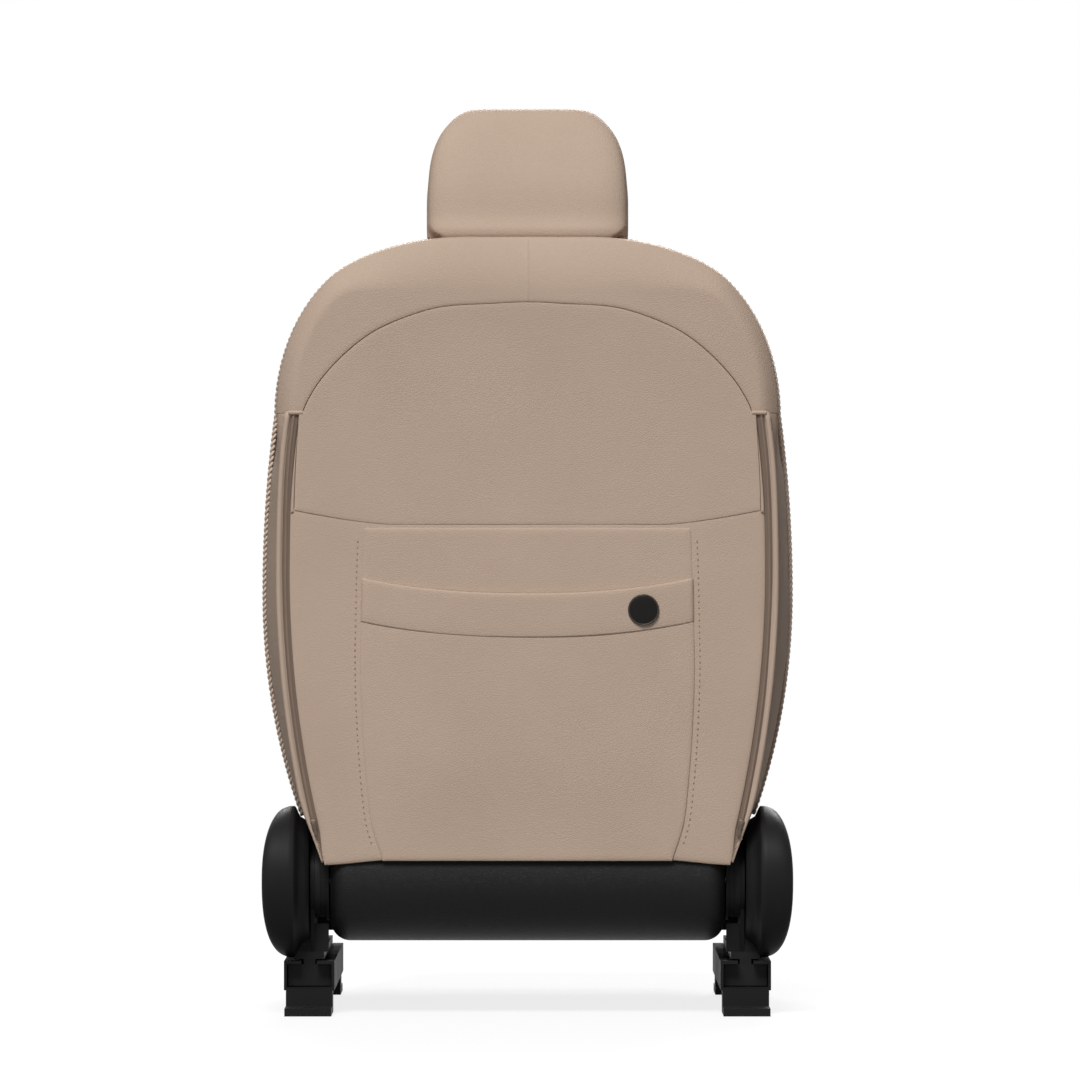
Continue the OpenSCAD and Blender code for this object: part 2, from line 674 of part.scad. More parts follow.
// Covers of the backrest
band_n = 6;
function yoke_point(p, s, d) = let (
    side = p < 0 ? -1 : 1,
    q = 1 - abs(p),
    rear = arch(q),
    front = toward(rear, pipe_arch(q), d))
    mirror_x(side, band(rear, front, s, 2, rear_y + d, pipe_y(front.y) - pipe_r - gap));
module back_cover_yoke() {
    ps = steps(-1, 1, 28);
    ss = steps(0, 1, band_n);
    color("#bfa997") difference() {
        skin([for (p = ps) [for (s = ss) yoke_point(p, s, 0)]],
            [for (p = ps) [for (s = ss) yoke_point(p, s, cover_t)]]);
        for (x = [-post_x, post_x]) translate([x, post_y, shoulder_z]) cylinder(r = sleeve_r + gap,
            h = axis_span);
    }
}
gusset_z = steps(skirt_z, shoulder_z - gap, 10);
function gusset_point(side, z, s, d) =
    let (rear = [zip_at(z) + zip_w / 2 + 0.2, z], front = [side_x(z) - d, z])
    mirror_x(side, band(rear, front, s, 1, rear_y + d, pipe_y(z) - pipe_r - gap));
module back_cover_side(side) {
    ss = steps(0, 1, 3);
    color("#a68f7e") difference() {
        skin([for (z = gusset_z) [for (s = ss) gusset_point(side, z, s, 0)]],
            [for (z = gusset_z) [for (s = ss) gusset_point(side, z, s, cover_t)]], side > 0);
        along_x(sweep_r, -axis_span / 2, axis_span / 2);
    }
}
// Front of the backrest: u runs across from -1 to 1 at the piping
fade_h = 200;
front_z = concat(steps(skirt_z, shoulder_z, 8), [for (a = steps(15, 90,
    5)) shoulder_z + (back_top - shoulder_z) * sin(a)]);
function front_point(u, z, d) = let (
    top_fade = 1 - pow(max(0, (z - back_top + fade_h) / fade_h), 3),
    crown = front_crown * (1 - pow(abs(u), 4)) * (0.15 + 0.85 * top_fade))
    [u * (pipe_half(z) - 0.5), pipe_y(z) + pipe_r + gap + cover_t + crown - d,
        z - (z > back_top - 1 ? gap : 0)];
module back_cover_front(u0, u1, n) {
    us = steps(u0, u1, n);
    color("#b9a190") difference() {
        skin([for (z = front_z) [for (u = us) front_point(u, z, 0)]],
            [for (z = front_z) [for (u = us) front_point(u, z, cover_t)]]);
        along_x(sweep_r, -axis_span / 2, axis_span / 2);
    }
}
// Piping from the left lower edge over the top to the right lower edge
module back_piping() {
    right = concat([for (z = steps(skirt_z + 30, shoulder_z, 12)) [side_x(z), pipe_y(z), z]],
        [for (q = steps(0.08, 0.98, 11)) let (p = pipe_arch(q)) [p.x, pipe_y(p.y), p.y]]);
    path = concat([for (p = right) mirror_x(-1, p)], [for (i = [len(right) - 1:-1:0]) right[i]]);
    color("#c9b3a0") cord(path, pipe_r, 6);
}
// Flat panels of the rear, in X and Z
function inner_zip(z) = zip_at(z) - zip_w / 2 - 0.2;
module back_cover_rear() {
    half = concat([for (z = steps(cross_seam_z + 0.3, zip_top_z, 4)) [inner_zip(z), z]],
        [for (q = steps(0, 1, arch_n + 4)) arch(q) - [0, gap]]);
    color("#b09a87") plate_xz(whole(half), rear_y, cover_t);
}
module back_cover_lower() {
    half = [for (z = steps(hem_z, cross_seam_z - 0.3, 8)) [inner_zip(z), z]];
    color("#b09a87") plate_xz(whole(half), rear_y, cover_t);
}
module zip(side) {
    outer = [for (z = steps(hem_z, zip_top_z, 14)) [side * (zip_at(z) + zip_w / 2), z]];
    inner = [for (z = steps(zip_top_z, hem_z, 14)) [side * (zip_at(z) - zip_w / 2), z]];
    color("#3a3431") plate_xz(concat(outer, inner), rear_y + 0.6, cover_t - 1);
}
slider_h = 14;
slider_t = 4;
module zip_slider(side) {
    color("#4b4745") translate([side * zip_at(slider_z), rear_y - slider_t, slider_z])
        rotate([0, -side * asin((slider_z - zip_mid_z) / zip_arc_r), 0]) translate([-zip_w / 2 + 1, 0,
            -slider_h / 2])
            cube([zip_w - 2, slider_t + 0.3, slider_h]);
}

// Map pocket on the rear: two side strips and a bottom strip carry the panel, with the band along its mouth
pocket_t = 2.5;
pocket_strip = 6;
pocket_foot_z = hem_z + 2;
pocket_foot_w = pocket_w - 36;
pocket_y = rear_y - pocket_gap - pocket_t;
function pocket_half(z) = let (f = max(0, (pocket_mouth_z - band_h - z) / (pocket_mouth_z - band_h -
    pocket_foot_z)))
    pocket_w / 2 - (pocket_w - pocket_foot_w) / 2 * pow(f, 3);
function mouth_z(x, low) = pocket_mouth_z - low - pocket_sag * (1 - pow(2 * x / pocket_w, 2));
module pocket_panel() {
    side = [for (z = steps(pocket_foot_z, pocket_mouth_z - band_h - 0.3, 8)) [pocket_half(z), z]];
    top = [for (f = steps(1, -1, 12)) [f * pocket_w / 2, mouth_z(f * pocket_w / 2, band_h + 0.3)]];
    color("#b09a87") plate_xz(concat(side, top, [for (i = [len(side) - 1:-1:0]) [-side[i].x,
        side[i].y]]), pocket_y, pocket_t);
}
module pocket_band() {
    top = [for (f = steps(1, -1, 12)) [f * pocket_w / 2, mouth_z(f * pocket_w / 2, 0)]];
    low = [for (f = steps(-1, 1, 12)) [f * pocket_w / 2, mouth_z(f * pocket_w / 2, band_h)]];
    color("#b49d8b") plate_xz(concat(top, low), pocket_y - 1, pocket_t + 1);
}
module pocket_gusset() {
    t = pocket_gap - 0.2;
    y = rear_y - pocket_gap + 0.1;
    zs = steps(pocket_foot_z + pocket_strip, pocket_mouth_z - 1, 9);
    color("#9c8775") {
        for (side = [-1, 1]) plate_xz(concat([for (z = zs) [side * pocket_half(z), z]],
            [for (i = [len(zs) - 1:-1:0]) [side * (pocket_half(zs[i]) - pocket_strip), zs[i]]]), y, t);
        translate([-pocket_foot_w / 2, y, pocket_foot_z]) cube([pocket_foot_w, t, pocket_strip]);
    }
}
badge_x = 119;
badge_z = 417;
badge_t = 2;
module badge() {
    color("#2d2a28") translate([badge_x, pocket_y - 1 - 0.1, badge_z]) rotate([90, 0, 0]) difference() {
        cylinder(r = badge_r, h = badge_t);
        translate([0, 0, badge_t - 0.5]) cylinder(r = badge_r - 2, h = 1);
    }
}

// Headrest, as rings stacked from the chin up, measured from its posts
headrest_low = bezel_z + bezel_t + 3;
headrest_h = headrest_top - headrest_low;
chin_z = back_top - 14;
// Height as a share of the headrest, half width as a share of its width, and rear and front faces
head_rows = [[0, 0.95, -22, 69], [0.03, 0.985, -25, 70], [0.08, 1, -22, 70.6], [0.18, 1, -19.5, 71],
    [0.3, 1, -16.5, 71], [0.44, 0.982, -11.5, 70.6], [0.58, 0.955, -5.5, 69.5], [0.7, 0.915, 1, 68],
    [0.82, 0.84, 8.5, 65], [0.91, 0.745, 16, 61], [0.97, 0.64, 23, 56], [1, 0.5, 29, 49]];
chin_rows = [[0, 0.7, 46, 58], [8, 0.84, 41, 66], [20, 0.92, 34, 69]];
head_round = 0.52;
function head_ring(z, half, y0, y1, d) = [for (k = [0:31]) let (a = 360 * (k + 0.5) / 32)
    [(half - d) * sign_pow(cos(a), head_round), post_y + (y0 + y1) / 2 + ((y1 - y0) / 2 - d) *
        sign_pow(sin(a), head_round), z]];
module headrest_shape(d, rows = chin_rows) {
    loft(concat(
        [for (r = rows) head_ring(chin_z + r[0] + d, r[1] * headrest_w / 2, r[2], r[3], d)],
        [for (r = head_rows) head_ring(headrest_low + d + r[0] * (headrest_h - 2 * d),
            r[1] * headrest_w / 2, r[2], r[3], d)]));
}
post_low = sleeve_low + 24;
post_top = headrest_low + 40;
// Posts, straight in their sleeves, with a bar across their tops inside the headrest
module post_pair(r, low) {
    for (x = [-post_x, post_x]) {
        translate([x, post_y, low]) cylinder(r = r, h = post_top - low);
        translate([x, post_y, post_top]) sphere(r);
    }
    along_x(r, -post_x, post_x, post_y, post_top);
}
module headrest_posts() {
    color("#c9cbcd") post_pair(post_r, post_low);
}
module headrest_cover() {
    color("#c3ad9a") difference() {
        headrest_shape(0);
        headrest_shape(cover_t);
        for (x = [-post_x, post_x]) translate([x, post_y, chin_z]) cylinder(r = post_r + 2,
            h = headrest_h / 2);
    }
}
module headrest_foam() {
    color("#d8cfae") difference() {
        headrest_shape(cover_t + gap, []);
        post_pair(post_r + gap, chin_z);
    }
}

lower_rail(-1);  // lower_rail_left
lower_rail(1);  // lower_rail_right
foot(-1, -1);  // rear_foot_left
foot(1, -1);  // rear_foot_right
foot(-1, 1);  // front_foot_left
foot(1, 1);  // front_foot_right
upper_rail(-1);  // upper_rail_left
upper_rail(1);  // upper_rail_right
side_member(-1);  // side_member_left
side_member(1);  // side_member_right
recliner(-1);  // recliner_left
recliner(1);  // recliner_right
cross_tube(front_tube_y);  // front_cross_tube
cross_tube(rear_tube_y);  // rear_cross_tube
cushion_pan();
cushion_foam();
cushion_cover_skirt();
cushion_cover_top();
cushion_piping();
rear_roll();
side_valance(-1);  // side_valance_left
side_valance(1);  // side_valance_right
recline_lever();
slide_bar();
recliner_hub(-1);  // recliner_hub_left
recliner_hub(1);  // recliner_hub_right
recliner_rod();
back_frame_side(-1);  // back_frame_side_left
back_frame_side(1);  // back_frame_side_right
frame_tube(post_y, frame_tube_z);  // back_frame_top_tube
frame_tube(lower_tube_y, lower_tube_z);  // back_frame_lower_tube
sleeve_bracket();
headrest_sleeve(-1);  // headrest_sleeve_left
headrest_sleeve(1);  // headrest_sleeve_right
headrest_button();
back_spring_mat();
back_foam();
back_cover_yoke();
back_cover_side(-1);  // back_cover_side_left
back_cover_side(1);  // back_cover_side_right
back_cover_front(-bolster_u, bolster_u, 8);
back_cover_front(-1, -bolster_u - 0.002, 6);  // back_bolster_left
back_cover_front(bolster_u + 0.002, 1, 6);  // back_bolster_right
back_piping();
back_cover_rear();
back_cover_lower();
zip(-1);  // zip_left
zip(1);  // zip_right
zip_slider(-1);  // zip_slider_left
zip_slider(1);  // zip_slider_right
pocket_panel();
pocket_band();
pocket_gusset();
badge();
headrest_posts();
headrest_foam();
headrest_cover();
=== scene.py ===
import math
import bmesh
import bpy
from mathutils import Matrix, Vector, noise


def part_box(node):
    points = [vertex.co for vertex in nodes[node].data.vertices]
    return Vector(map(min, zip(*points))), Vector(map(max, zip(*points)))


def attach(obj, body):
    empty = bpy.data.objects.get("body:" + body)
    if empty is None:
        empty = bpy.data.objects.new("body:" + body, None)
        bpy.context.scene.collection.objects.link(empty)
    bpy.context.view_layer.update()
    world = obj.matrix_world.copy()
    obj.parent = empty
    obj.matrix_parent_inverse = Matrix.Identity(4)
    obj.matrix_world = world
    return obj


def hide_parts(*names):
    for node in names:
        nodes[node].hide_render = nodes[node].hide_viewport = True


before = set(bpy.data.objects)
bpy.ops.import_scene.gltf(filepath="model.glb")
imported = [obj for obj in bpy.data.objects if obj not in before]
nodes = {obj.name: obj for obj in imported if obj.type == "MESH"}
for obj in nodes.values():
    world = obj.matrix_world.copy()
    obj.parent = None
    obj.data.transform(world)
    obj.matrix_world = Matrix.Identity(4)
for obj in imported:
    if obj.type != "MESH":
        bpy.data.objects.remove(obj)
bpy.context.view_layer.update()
MM = 0.001

# Sizes of the backrest, as in the solids
REAR_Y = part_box("back_cover_rear")[0][1]
SOLID_PIPE_R = 3.5 * MM
TOP_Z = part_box("back_piping")[1][2] - SOLID_PIPE_R
HALF_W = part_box("back_piping")[1][0] - SOLID_PIPE_R
PIPE_R = 2.6 * MM
HIDE = 2.5 * MM
WIDEST_Z = 430 * MM
SHOULDER_Z = 618 * MM
TOP_FLAT = 80 * MM
SKIRT_Z = 172 * MM
HEM_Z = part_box("back_cover_lower")[0][2]
DEPTH_LOW = 115 * MM
DEPTH_TOP = 74 * MM
CROWN = 26 * MM
SIDE_UPPER_R = 1395 * MM
SIDE_LOWER_R = 690 * MM
ZIP_X = 248.5 * MM
ZIP_R = 1150 * MM
ZIP_MID_Z = 455 * MM
ZIP_W = 9 * MM
ARCH_BASE = SHOULDER_Z - 18 * MM
ARCH_RX = ZIP_X - 15.5 * MM
ARCH_RISE = TOP_Z - 65 * MM - ARCH_BASE
ARCH_START = math.asin((SHOULDER_Z - ARCH_BASE) / ARCH_RISE)
SHOULDER_END = 0.6
SHOULDER_RUN, SHOULDER_RISE = 2.4, 2.0
PIVOT = Vector((0, -150 * MM, 137 * MM))
SWEEP_R = 66 * MM
POCKET_MOUTH = 449 * MM
BAND_H = 45 * MM
POCKET_FOOT = HEM_Z + 2 * MM
SEAM_Z = 504 * MM
SIDES = ((-1, "left"), (1, "right"))

# Where the covers leave the solids, as the photograph has them: how far, from what place and over what length
ZIP_STRAY, ZIP_STRAY_Z, ZIP_STRAY_RUN = 2.4 * MM, 470 * MM, 130 * MM
FALL, FALL_Z, FALL_RUN = 22 * MM, 755 * MM, 47 * MM
ARCH_LOW = 2.6 * MM
ARCH_FULL, ARCH_FULL_X, ARCH_FULL_RUN = 5.8 * MM, 30 * MM, 75 * MM
ARCH_SINK, ARCH_SINK_X, ARCH_SINK_RUN = 6 * MM, 150 * MM, 65 * MM
ARCH_FOOT = 25 * MM
CROSS_FLAT, CROSS_RUN, CROSS_RISE = 140 * MM, 98 * MM, 14.4 * MM
SEAM_FOOT_X, SEAM_HEAD_X, SEAM_FOOT_Z = 239 * MM, 234 * MM, 518 * MM
LEAN = 0.12
HEM_LIFT, HEM_DROP, HEM_DROP_X, HEM_DROP_RUN = 2 * MM, 5.5 * MM, 130 * MM, 80 * MM
ZIP_TAPER, ZIP_TAPER_END = 36 * MM, 0.1


# Numbers
def mix(a, b, f):
    return a + (b - a) * f


def smooth(f):
    f = min(1.0, max(0.0, f))
    return f * f * (3 - 2 * f)


def steps(a, b, n):
    return [mix(a, b, i / n) for i in range(n + 1)]


def sign_pow(v, e):
    return math.copysign(abs(v) ** e, v)


def round_angles(sides):
    return [2 * math.pi * k / sides for k in range(sides)]


# The lesser of two numbers, with a soft change from one to the other
def soft_min(a, b, sharp=12):
    return -math.log(math.exp(-sharp * a) + math.exp(-sharp * b)) / sharp


# A smooth curve through a table of [place, value]
def curve(table, v):
    if v <= table[0][0]:
        return table[0][1]
    for i, ((a, fa), (b, fb)) in enumerate(zip(table, table[1:])):
        if v <= b:
            f = (v - a) / (b - a)
            before = table[max(i - 1, 0)]
            after = table[min(i + 2, len(table) - 1)]
            ma = (fb - before[1]) / (b - before[0]) * (b - a)
            mb = (after[1] - fa) / (after[0] - a) * (b - a)
            return ((2 * f ** 3 - 3 * f ** 2 + 1) * fa + (f ** 3 - 2 * f ** 2 + f) * ma
                    + (-2 * f ** 3 + 3 * f ** 2) * fb + (f ** 3 - f ** 2) * mb)
    return table[-1][1]


def spline(a, b, c, d, f):
    return 0.5 * (2 * b + (c - a) * f + (2 * a - 5 * b + 4 * c - d) * f * f + (3 * b - a - 3 * c + d) * f ** 3)


# More rows between those given, on smooth curves through them
def spline_rows(rows, count):
    out = []
    last = len(rows) - 1
    for i in range(count + 1):
        at = i / count * last
        k = min(int(at), last - 1)
        four = rows[max(k - 1, 0)], rows[k], rows[k + 1], rows[min(k + 2, last)]
        out.append(tuple(spline(*values, at - k) for values in zip(*four)))
    return out


# Outlines of the backrest
def arc_x(x0, r, d):
    return x0 - r + math.sqrt(r * r - d * d)


def side_x(z):
    return arc_x(HALF_W, SIDE_UPPER_R if z > WIDEST_Z else SIDE_LOWER_R, z - WIDEST_Z)


# The sliders run on an arc, and the zips leave it a little towards the shoulders
def slider_x(z):
    return arc_x(ZIP_X, ZIP_R, z - ZIP_MID_Z)


def zip_at(z):
    return slider_x(z) + ZIP_STRAY * smooth((z - ZIP_STRAY_Z) / ZIP_STRAY_RUN)


def pipe_y(z):
    return REAR_Y + mix(DEPTH_LOW, DEPTH_TOP, (z - SKIRT_Z) / (TOP_Z - SKIRT_Z))


# The shoulders fall away a little near the top
def fall(z):
    return FALL * max(0, (z - FALL_Z) / FALL_RUN) ** 2


def pipe_half(z):
    if z <= SHOULDER_Z:
        return side_x(z)
    f = (z - SHOULDER_Z) / (TOP_Z - SHOULDER_Z)
    return TOP_FLAT - fall(z) + (side_x(SHOULDER_Z) - TOP_FLAT) * max(0, 1 - f ** SHOULDER_RISE) ** (1 / SHOULDER_RUN)


# Place along the piping, from a shoulder at 0 to the middle of the top at 1
def pipe_arch(q):
    if q < SHOULDER_END:
        a = math.pi / 2 * q / SHOULDER_END
        z = SHOULDER_Z + (TOP_Z - SHOULDER_Z) * math.sin(a) ** (2 / SHOULDER_RISE)
        return TOP_FLAT - fall(z) + (side_x(SHOULDER_Z) - TOP_FLAT) * math.cos(a) ** (2 / SHOULDER_RUN), z
    return (TOP_FLAT - fall(TOP_Z)) * (1 - q) / (1 - SHOULDER_END), TOP_Z


# Seam under the yoke: an ellipse, a little flatter at its middle and fuller beside it
def arch(q):
    a = ARCH_START + (math.pi / 2 - ARCH_START) * (1 - (1 - q) ** 1.6)
    x, z = ARCH_RX * math.cos(a), ARCH_BASE + ARCH_RISE * math.sin(a)
    fuller = ARCH_FULL * smooth((x - ARCH_FULL_X) / ARCH_FULL_RUN)
    fuller -= ARCH_SINK * smooth((x - ARCH_SINK_X) / ARCH_SINK_RUN) + ARCH_LOW
    return x, z + fuller * smooth((z - SHOULDER_Z) / ARCH_FOOT)


# Nodes of a material
def material(name):
    m = bpy.data.materials.new(name)
    m.use_nodes = True
    tree = m.node_tree
    return m, tree, tree.nodes["Principled BSDF"]


def put(node, **values):
    for key, value in values.items():
        if hasattr(node, key):
            setattr(node, key, value)
        else:
            node.inputs[key.replace("_", " ")].default_value = value
    return node


def add(tree, kind, **values):
    return put(tree.nodes.new("ShaderNode" + kind), **values)


def link(tree, a, out, b, socket):
    tree.links.new(a.outputs[out], b.inputs[socket])


def srgb(r, g, b):
    def linear(c):
        c /= 255
        return c / 12.92 if c <= 0.04045 else ((c + 0.055) / 1.055) ** 2.4
    return linear(r), linear(g), linear(b), 1.0


def shade(color, times, plus=0.0):
    return tuple(min(1, c * times + plus) for c in color[:3]) + (1,)


# A value as a colour, and a value carried from one range to another
def ramp(tree, source, out, low, high, start=0.0, end=1.0):
    node = add(tree, "ValToRGB")
    link(tree, source, out, node, "Fac")
    for element, color, place in zip(node.color_ramp.elements, (low, high), (start, end)):
        element.color, element.position = color, place
    return node


def ranged(tree, source, out, low, high, to_low, to_high):
    node = add(tree, "MapRange", From_Min=low, From_Max=high, To_Min=to_low, To_Max=to_high)
    link(tree, source, out, node, "Value")
    return node


# A texture in the piece's own coordinates
def texture(tree, kind, **values):
    node = add(tree, "Tex" + kind, **values)
    link(tree, add(tree, "TexCoord"), "Object", node, "Vector")
    return node


def bumped(tree, bsdf, height, out, strength, distance):
    bump = add(tree, "Bump", Strength=strength, Distance=distance)
    link(tree, height, out, bump, "Height")
    link(tree, bump, "Normal", bsdf, "Normal")


# Grained leatherette: pebbles with fine creases, and slow changes of tone
def leatherette(name, dark, light, rough, grain, depth, shine=0.3):
    m, tree, bsdf = material(name)
    cells = texture(tree, "Voronoi", feature="DISTANCE_TO_EDGE", Scale=grain)
    fine = texture(tree, "Noise", Scale=grain * 2.4, Detail=3.0)
    slow = texture(tree, "Noise", Scale=9.0, Detail=4.0)
    edge = ranged(tree, cells, "Distance", 0.0, 0.22, 0.0, 1.0)
    height = add(tree, "Math", operation="MULTIPLY_ADD")
    link(tree, fine, "Fac", height, 0)
    height.inputs[1].default_value = 0.35
    link(tree, edge, "Result", height, 2)
    bumped(tree, bsdf, height, "Value", depth, 0.4 * MM)
    tone = ramp(tree, slow, "Fac", dark, light, 0.35, 0.65)
    link(tree, tone, "Color", bsdf, "Base Color")
    gloss = ranged(tree, edge, "Result", 0.0, 1.0, rough + 0.1, rough - 0.05)
    link(tree, gloss, "Result", bsdf, "Roughness")
    put(bsdf, Specular_IOR_Level=shine)
    return m


# Moulded plastic or coated metal with a fine texture, and sharp edges painted lighter as a highlight
def moulded(name, color, rough, metal=0.0, grain=1400.0, depth=0.12, shine=0.5):
    m, tree, bsdf = material(name)
    speck = texture(tree, "Noise", Scale=grain, Detail=2.0)
    slow = texture(tree, "Noise", Scale=16.0, Detail=5.0)
    bumped(tree, bsdf, speck, "Fac", depth, 0.3 * MM)
    tone = ramp(tree, slow, "Fac", shade(color, 0.85), shade(color, 1.15), 0.3, 0.7)
    # Painted highlight: the colour is mixed towards a lighter shade on sharp edges
    edge_highlight = ranged(tree, add(tree, "NewGeometry"), "Pointiness", 0.52, 0.62, 0.0, 0.35)
    edge_highlight_mix = add(tree, "Mix", data_type="RGBA")
    link(tree, edge_highlight, "Result", edge_highlight_mix, "Factor")
    link(tree, tone, "Color", edge_highlight_mix, 6)
    edge_highlight_mix.inputs[7].default_value = shade(color, 1.8, 0.02)
    link(tree, edge_highlight_mix, 2, bsdf, "Base Color")
    gloss = ranged(tree, slow, "Fac", 0.3, 0.7, rough - 0.06, rough + 0.08)
    link(tree, gloss, "Result", bsdf, "Roughness")
    put(bsdf, Metallic=metal, Specular_IOR_Level=shine)
    return m


# Woven tape or thread: fine crossed ribs, with painted shade that darkens the grooves between them
def woven(name, color, rough=0.8, pitch=1500.0):
    m, tree, bsdf = material(name)
    ribs = texture(tree, "Wave", Scale=pitch, bands_direction="Z", Distortion=0.6)
    cross = texture(tree, "Wave", Scale=pitch, bands_direction="X", Distortion=0.6)
    height = add(tree, "Math", operation="MAXIMUM")
    link(tree, ribs, "Fac", height, 0)
    link(tree, cross, "Fac", height, 1)
    bumped(tree, bsdf, height, "Value", 0.4, 0.2 * MM)
    # Painted shade: the low parts of the ribs are painted darker
    tone = ramp(tree, height, "Value", shade(color, 0.7), color)
    link(tree, tone, "Color", bsdf, "Base Color")
    put(bsdf, Roughness=rough)
    return m


BEIGE = leatherette("beige_leatherette", srgb(174, 154, 138), srgb(177, 157, 141), 0.62, 460.0, 0.5, 0.05)
BEIGE_CORD = leatherette("beige_piping", srgb(186, 166, 150), srgb(198, 179, 162), 0.45, 1600.0, 0.15)
BLACK_HIDE = leatherette("black_leatherette", srgb(19, 18, 18), srgb(22, 21, 21), 0.42, 620.0, 0.5, 0.14)
BLACK_PLASTIC = moulded("black_plastic", srgb(25, 24, 24), 0.5, shine=0.08)
RAIL_STEEL = moulded("rail_steel", srgb(17, 16, 16), 0.5, 0.0, 900.0, 0.08, 0.06)
DARK_STEEL = moulded("dark_steel", srgb(18, 18, 18), 0.46, 0.0, 1100.0, 0.06, 0.08)
BRIGHT_STEEL = moulded("bright_steel", srgb(150, 152, 155), 0.34, 1.0, 1100.0, 0.05)
CHROME = moulded("chrome", srgb(222, 223, 226), 0.09, 1.0, 400.0, 0.01)
ZIP_TAPE = woven("zip_tape", srgb(112, 95, 83))
ZIP_METAL = moulded("zip_metal", srgb(138, 119, 104), 0.4, 0.4)
ZIP_SLIDER = moulded("zip_slider", srgb(96, 82, 72), 0.45, 0.5, shine=0.2)
BADGE_BLACK = moulded("badge", srgb(24, 22, 21), 0.36, shine=0.1)
BADGE_RIM = moulded("badge_rim", srgb(48, 44, 40), 0.32, shine=0.25)
THREAD = woven("thread", srgb(160, 141, 126), 0.7, 2400.0)


# Meshes
def mesh_object(name, points, faces, mat, body, replaced, smooth_shade=True):
    mesh = bpy.data.meshes.new(name)
    mesh.from_pydata([tuple(p) for p in points], [], faces)
    mesh.validate()
    mesh.materials.append(mat)
    if smooth_shade:
        mesh.polygons.foreach_set("use_smooth", [True] * len(mesh.polygons))
    obj = bpy.data.objects.new(name, mesh)
    bpy.context.scene.collection.objects.link(obj)
    fix = bmesh.new()
    fix.from_mesh(mesh)
    bmesh.ops.remove_doubles(fix, verts=fix.verts, dist=1e-6)
    bmesh.ops.recalc_face_normals(fix, faces=fix.faces)
    fix.to_mesh(mesh)
    fix.free()
    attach(obj, body)
    if replaced:
        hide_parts(*replaced)
    return obj


def grid_faces(nr, nc, first=0, wrap=False):
    faces = []
    for i in range(nr - 1):
        for j in range(nc if wrap else nc - 1):
            k = (j + 1) % nc
            a = first + i * nc
            faces.append((a + j, a + k, a + nc + k, a + nc + j))
    return faces


# A skin between an outer and an inner grid of points, closed round its edges
def skin(name, outer, inner, mat, body, replaced):
    nr = len(outer)
    nc = len(outer[0])
    n = nr * nc
    points = [p for row in outer for p in row] + [p for row in inner for p in row]
    faces = grid_faces(nr, nc) + [tuple(reversed(f)) for f in grid_faces(nr, nc, n)]
    loop = list(range(nc)) + [i * nc + nc - 1 for i in range(1, nr)]
    loop += [(nr - 1) * nc + j for j in range(nc - 2, -1, -1)] + [i * nc for i in range(nr - 2, 0, -1)]
    for a, b in zip(loop, loop[1:] + loop[:1]):
        faces.append((b, a, n + a, n + b))
    return mesh_object(name, points, faces, mat, body, replaced)


def beige_skin(name, outer, inner, replaced, body="backrest"):
    return skin(name, outer, inner, BEIGE, body, replaced)


def shifted(rows, x=0.0, y=0.0, z=0.0):
    offset = Vector((x, y, z))
    return [[v + offset for v in row] for row in rows]


# A solid through closed rings of points, closed at both ends
def loft(name, rings, mat, body, replaced):
    nc = len(rings[0])
    points = [p for ring in rings for p in ring]
    faces = grid_faces(len(rings), nc, 0, True)
    for ring, first in ((rings[0], 0), (rings[-1], (len(rings) - 1) * nc)):
        points.append(sum(ring, Vector()) / nc)
        faces += [(len(points) - 1, first + j, first + (j + 1) % nc) for j in range(nc)]
    return mesh_object(name, points, faces, mat, body, replaced)


# How far a cover dips at a distance from a seam of [depth, width]
def dip_at(distance, seam):
    depth, width = seam
    return depth * math.exp(-distance / width)


# A thin panel seen flat on, from the right half of its outline: rings run in from the outline to a middle point, and
# the edge dips into its seam. Insets of the outer rings in mm, and then shares of the way left to the middle
OUTLINE_STEP = 3.2 * MM
INSETS = (0, 0.4, 0.9, 1.5, 2.2, 3.2, 4.6, 6.5, 9.5, 14)
SHARES = (0.12, 0.25, 0.4, 0.55, 0.7, 0.85)


def inward(outline, centre):
    pulls = []
    n = len(outline)
    for i, (x, z) in enumerate(outline):
        x0, z0 = outline[i - 1]
        x1, z1 = outline[(i + 1) % n]
        tx, tz = x1 - x0, z1 - z0
        size = math.hypot(tx, tz) or 1.0
        reach = abs((centre[0] - x) * -tz + (centre[1] - z) * tx) / size
        pulls.append(1 / max(reach, 0.02))
    return pulls


def panel(name, half, centre, face, replaced, seam):
    outline = even(half + [(-x, z) for x, z in reversed(half) if x > 1e-5], OUTLINE_STEP)
    pulls = inward(outline, centre)
    rings = []
    for d in INSETS:
        ring = []
        for (x, z), pull in zip(outline, pulls):
            f = min(0.9, d * MM * pull)
            px, pz = mix(x, centre[0], f), mix(z, centre[1], f)
            ring.append(Vector((px, face(px, pz) + dip_at(d * MM, seam), pz)))
        rings.append(ring)
    last = rings[-1]
    for share in SHARES:
        ring = []
        for p in last:
            px, pz = mix(p.x, centre[0], share), mix(p.z, centre[1], share)
            ring.append(Vector((px, face(px, pz), pz)))
        rings.append(ring)
    back = shifted(rings[:1], y=HIDE)
    loft(name, back + rings, BEIGE, "backrest", replaced)


# Points along a closed outline at an even spacing
def even(points, spacing):
    points = [Vector(p) for p in points]
    out = []
    for a, b in zip(points, points[1:] + points[:1]):
        n = max(1, round((b - a).length / spacing))
        out += [tuple(a.lerp(b, i / n)) for i in range(n)]
    return out


# Slow rise and fall of cloth over foam
def sway(x, z, size, grain=7.0, seed=0.0):
    return size * MM * noise.noise(Vector((x * grain, seed, z * grain)))


# Seams of the rear
def cross_z(x):
    f = max(0.0, (abs(x) - CROSS_FLAT) / CROSS_RUN)
    return SEAM_Z + CROSS_RISE * f ** 1.4


def seam_x(z):
    f = (z - SEAM_FOOT_Z) / (SHOULDER_Z - SEAM_FOOT_Z)
    return mix(SEAM_FOOT_X, SEAM_HEAD_X, max(0.0, f) ** 1.6)


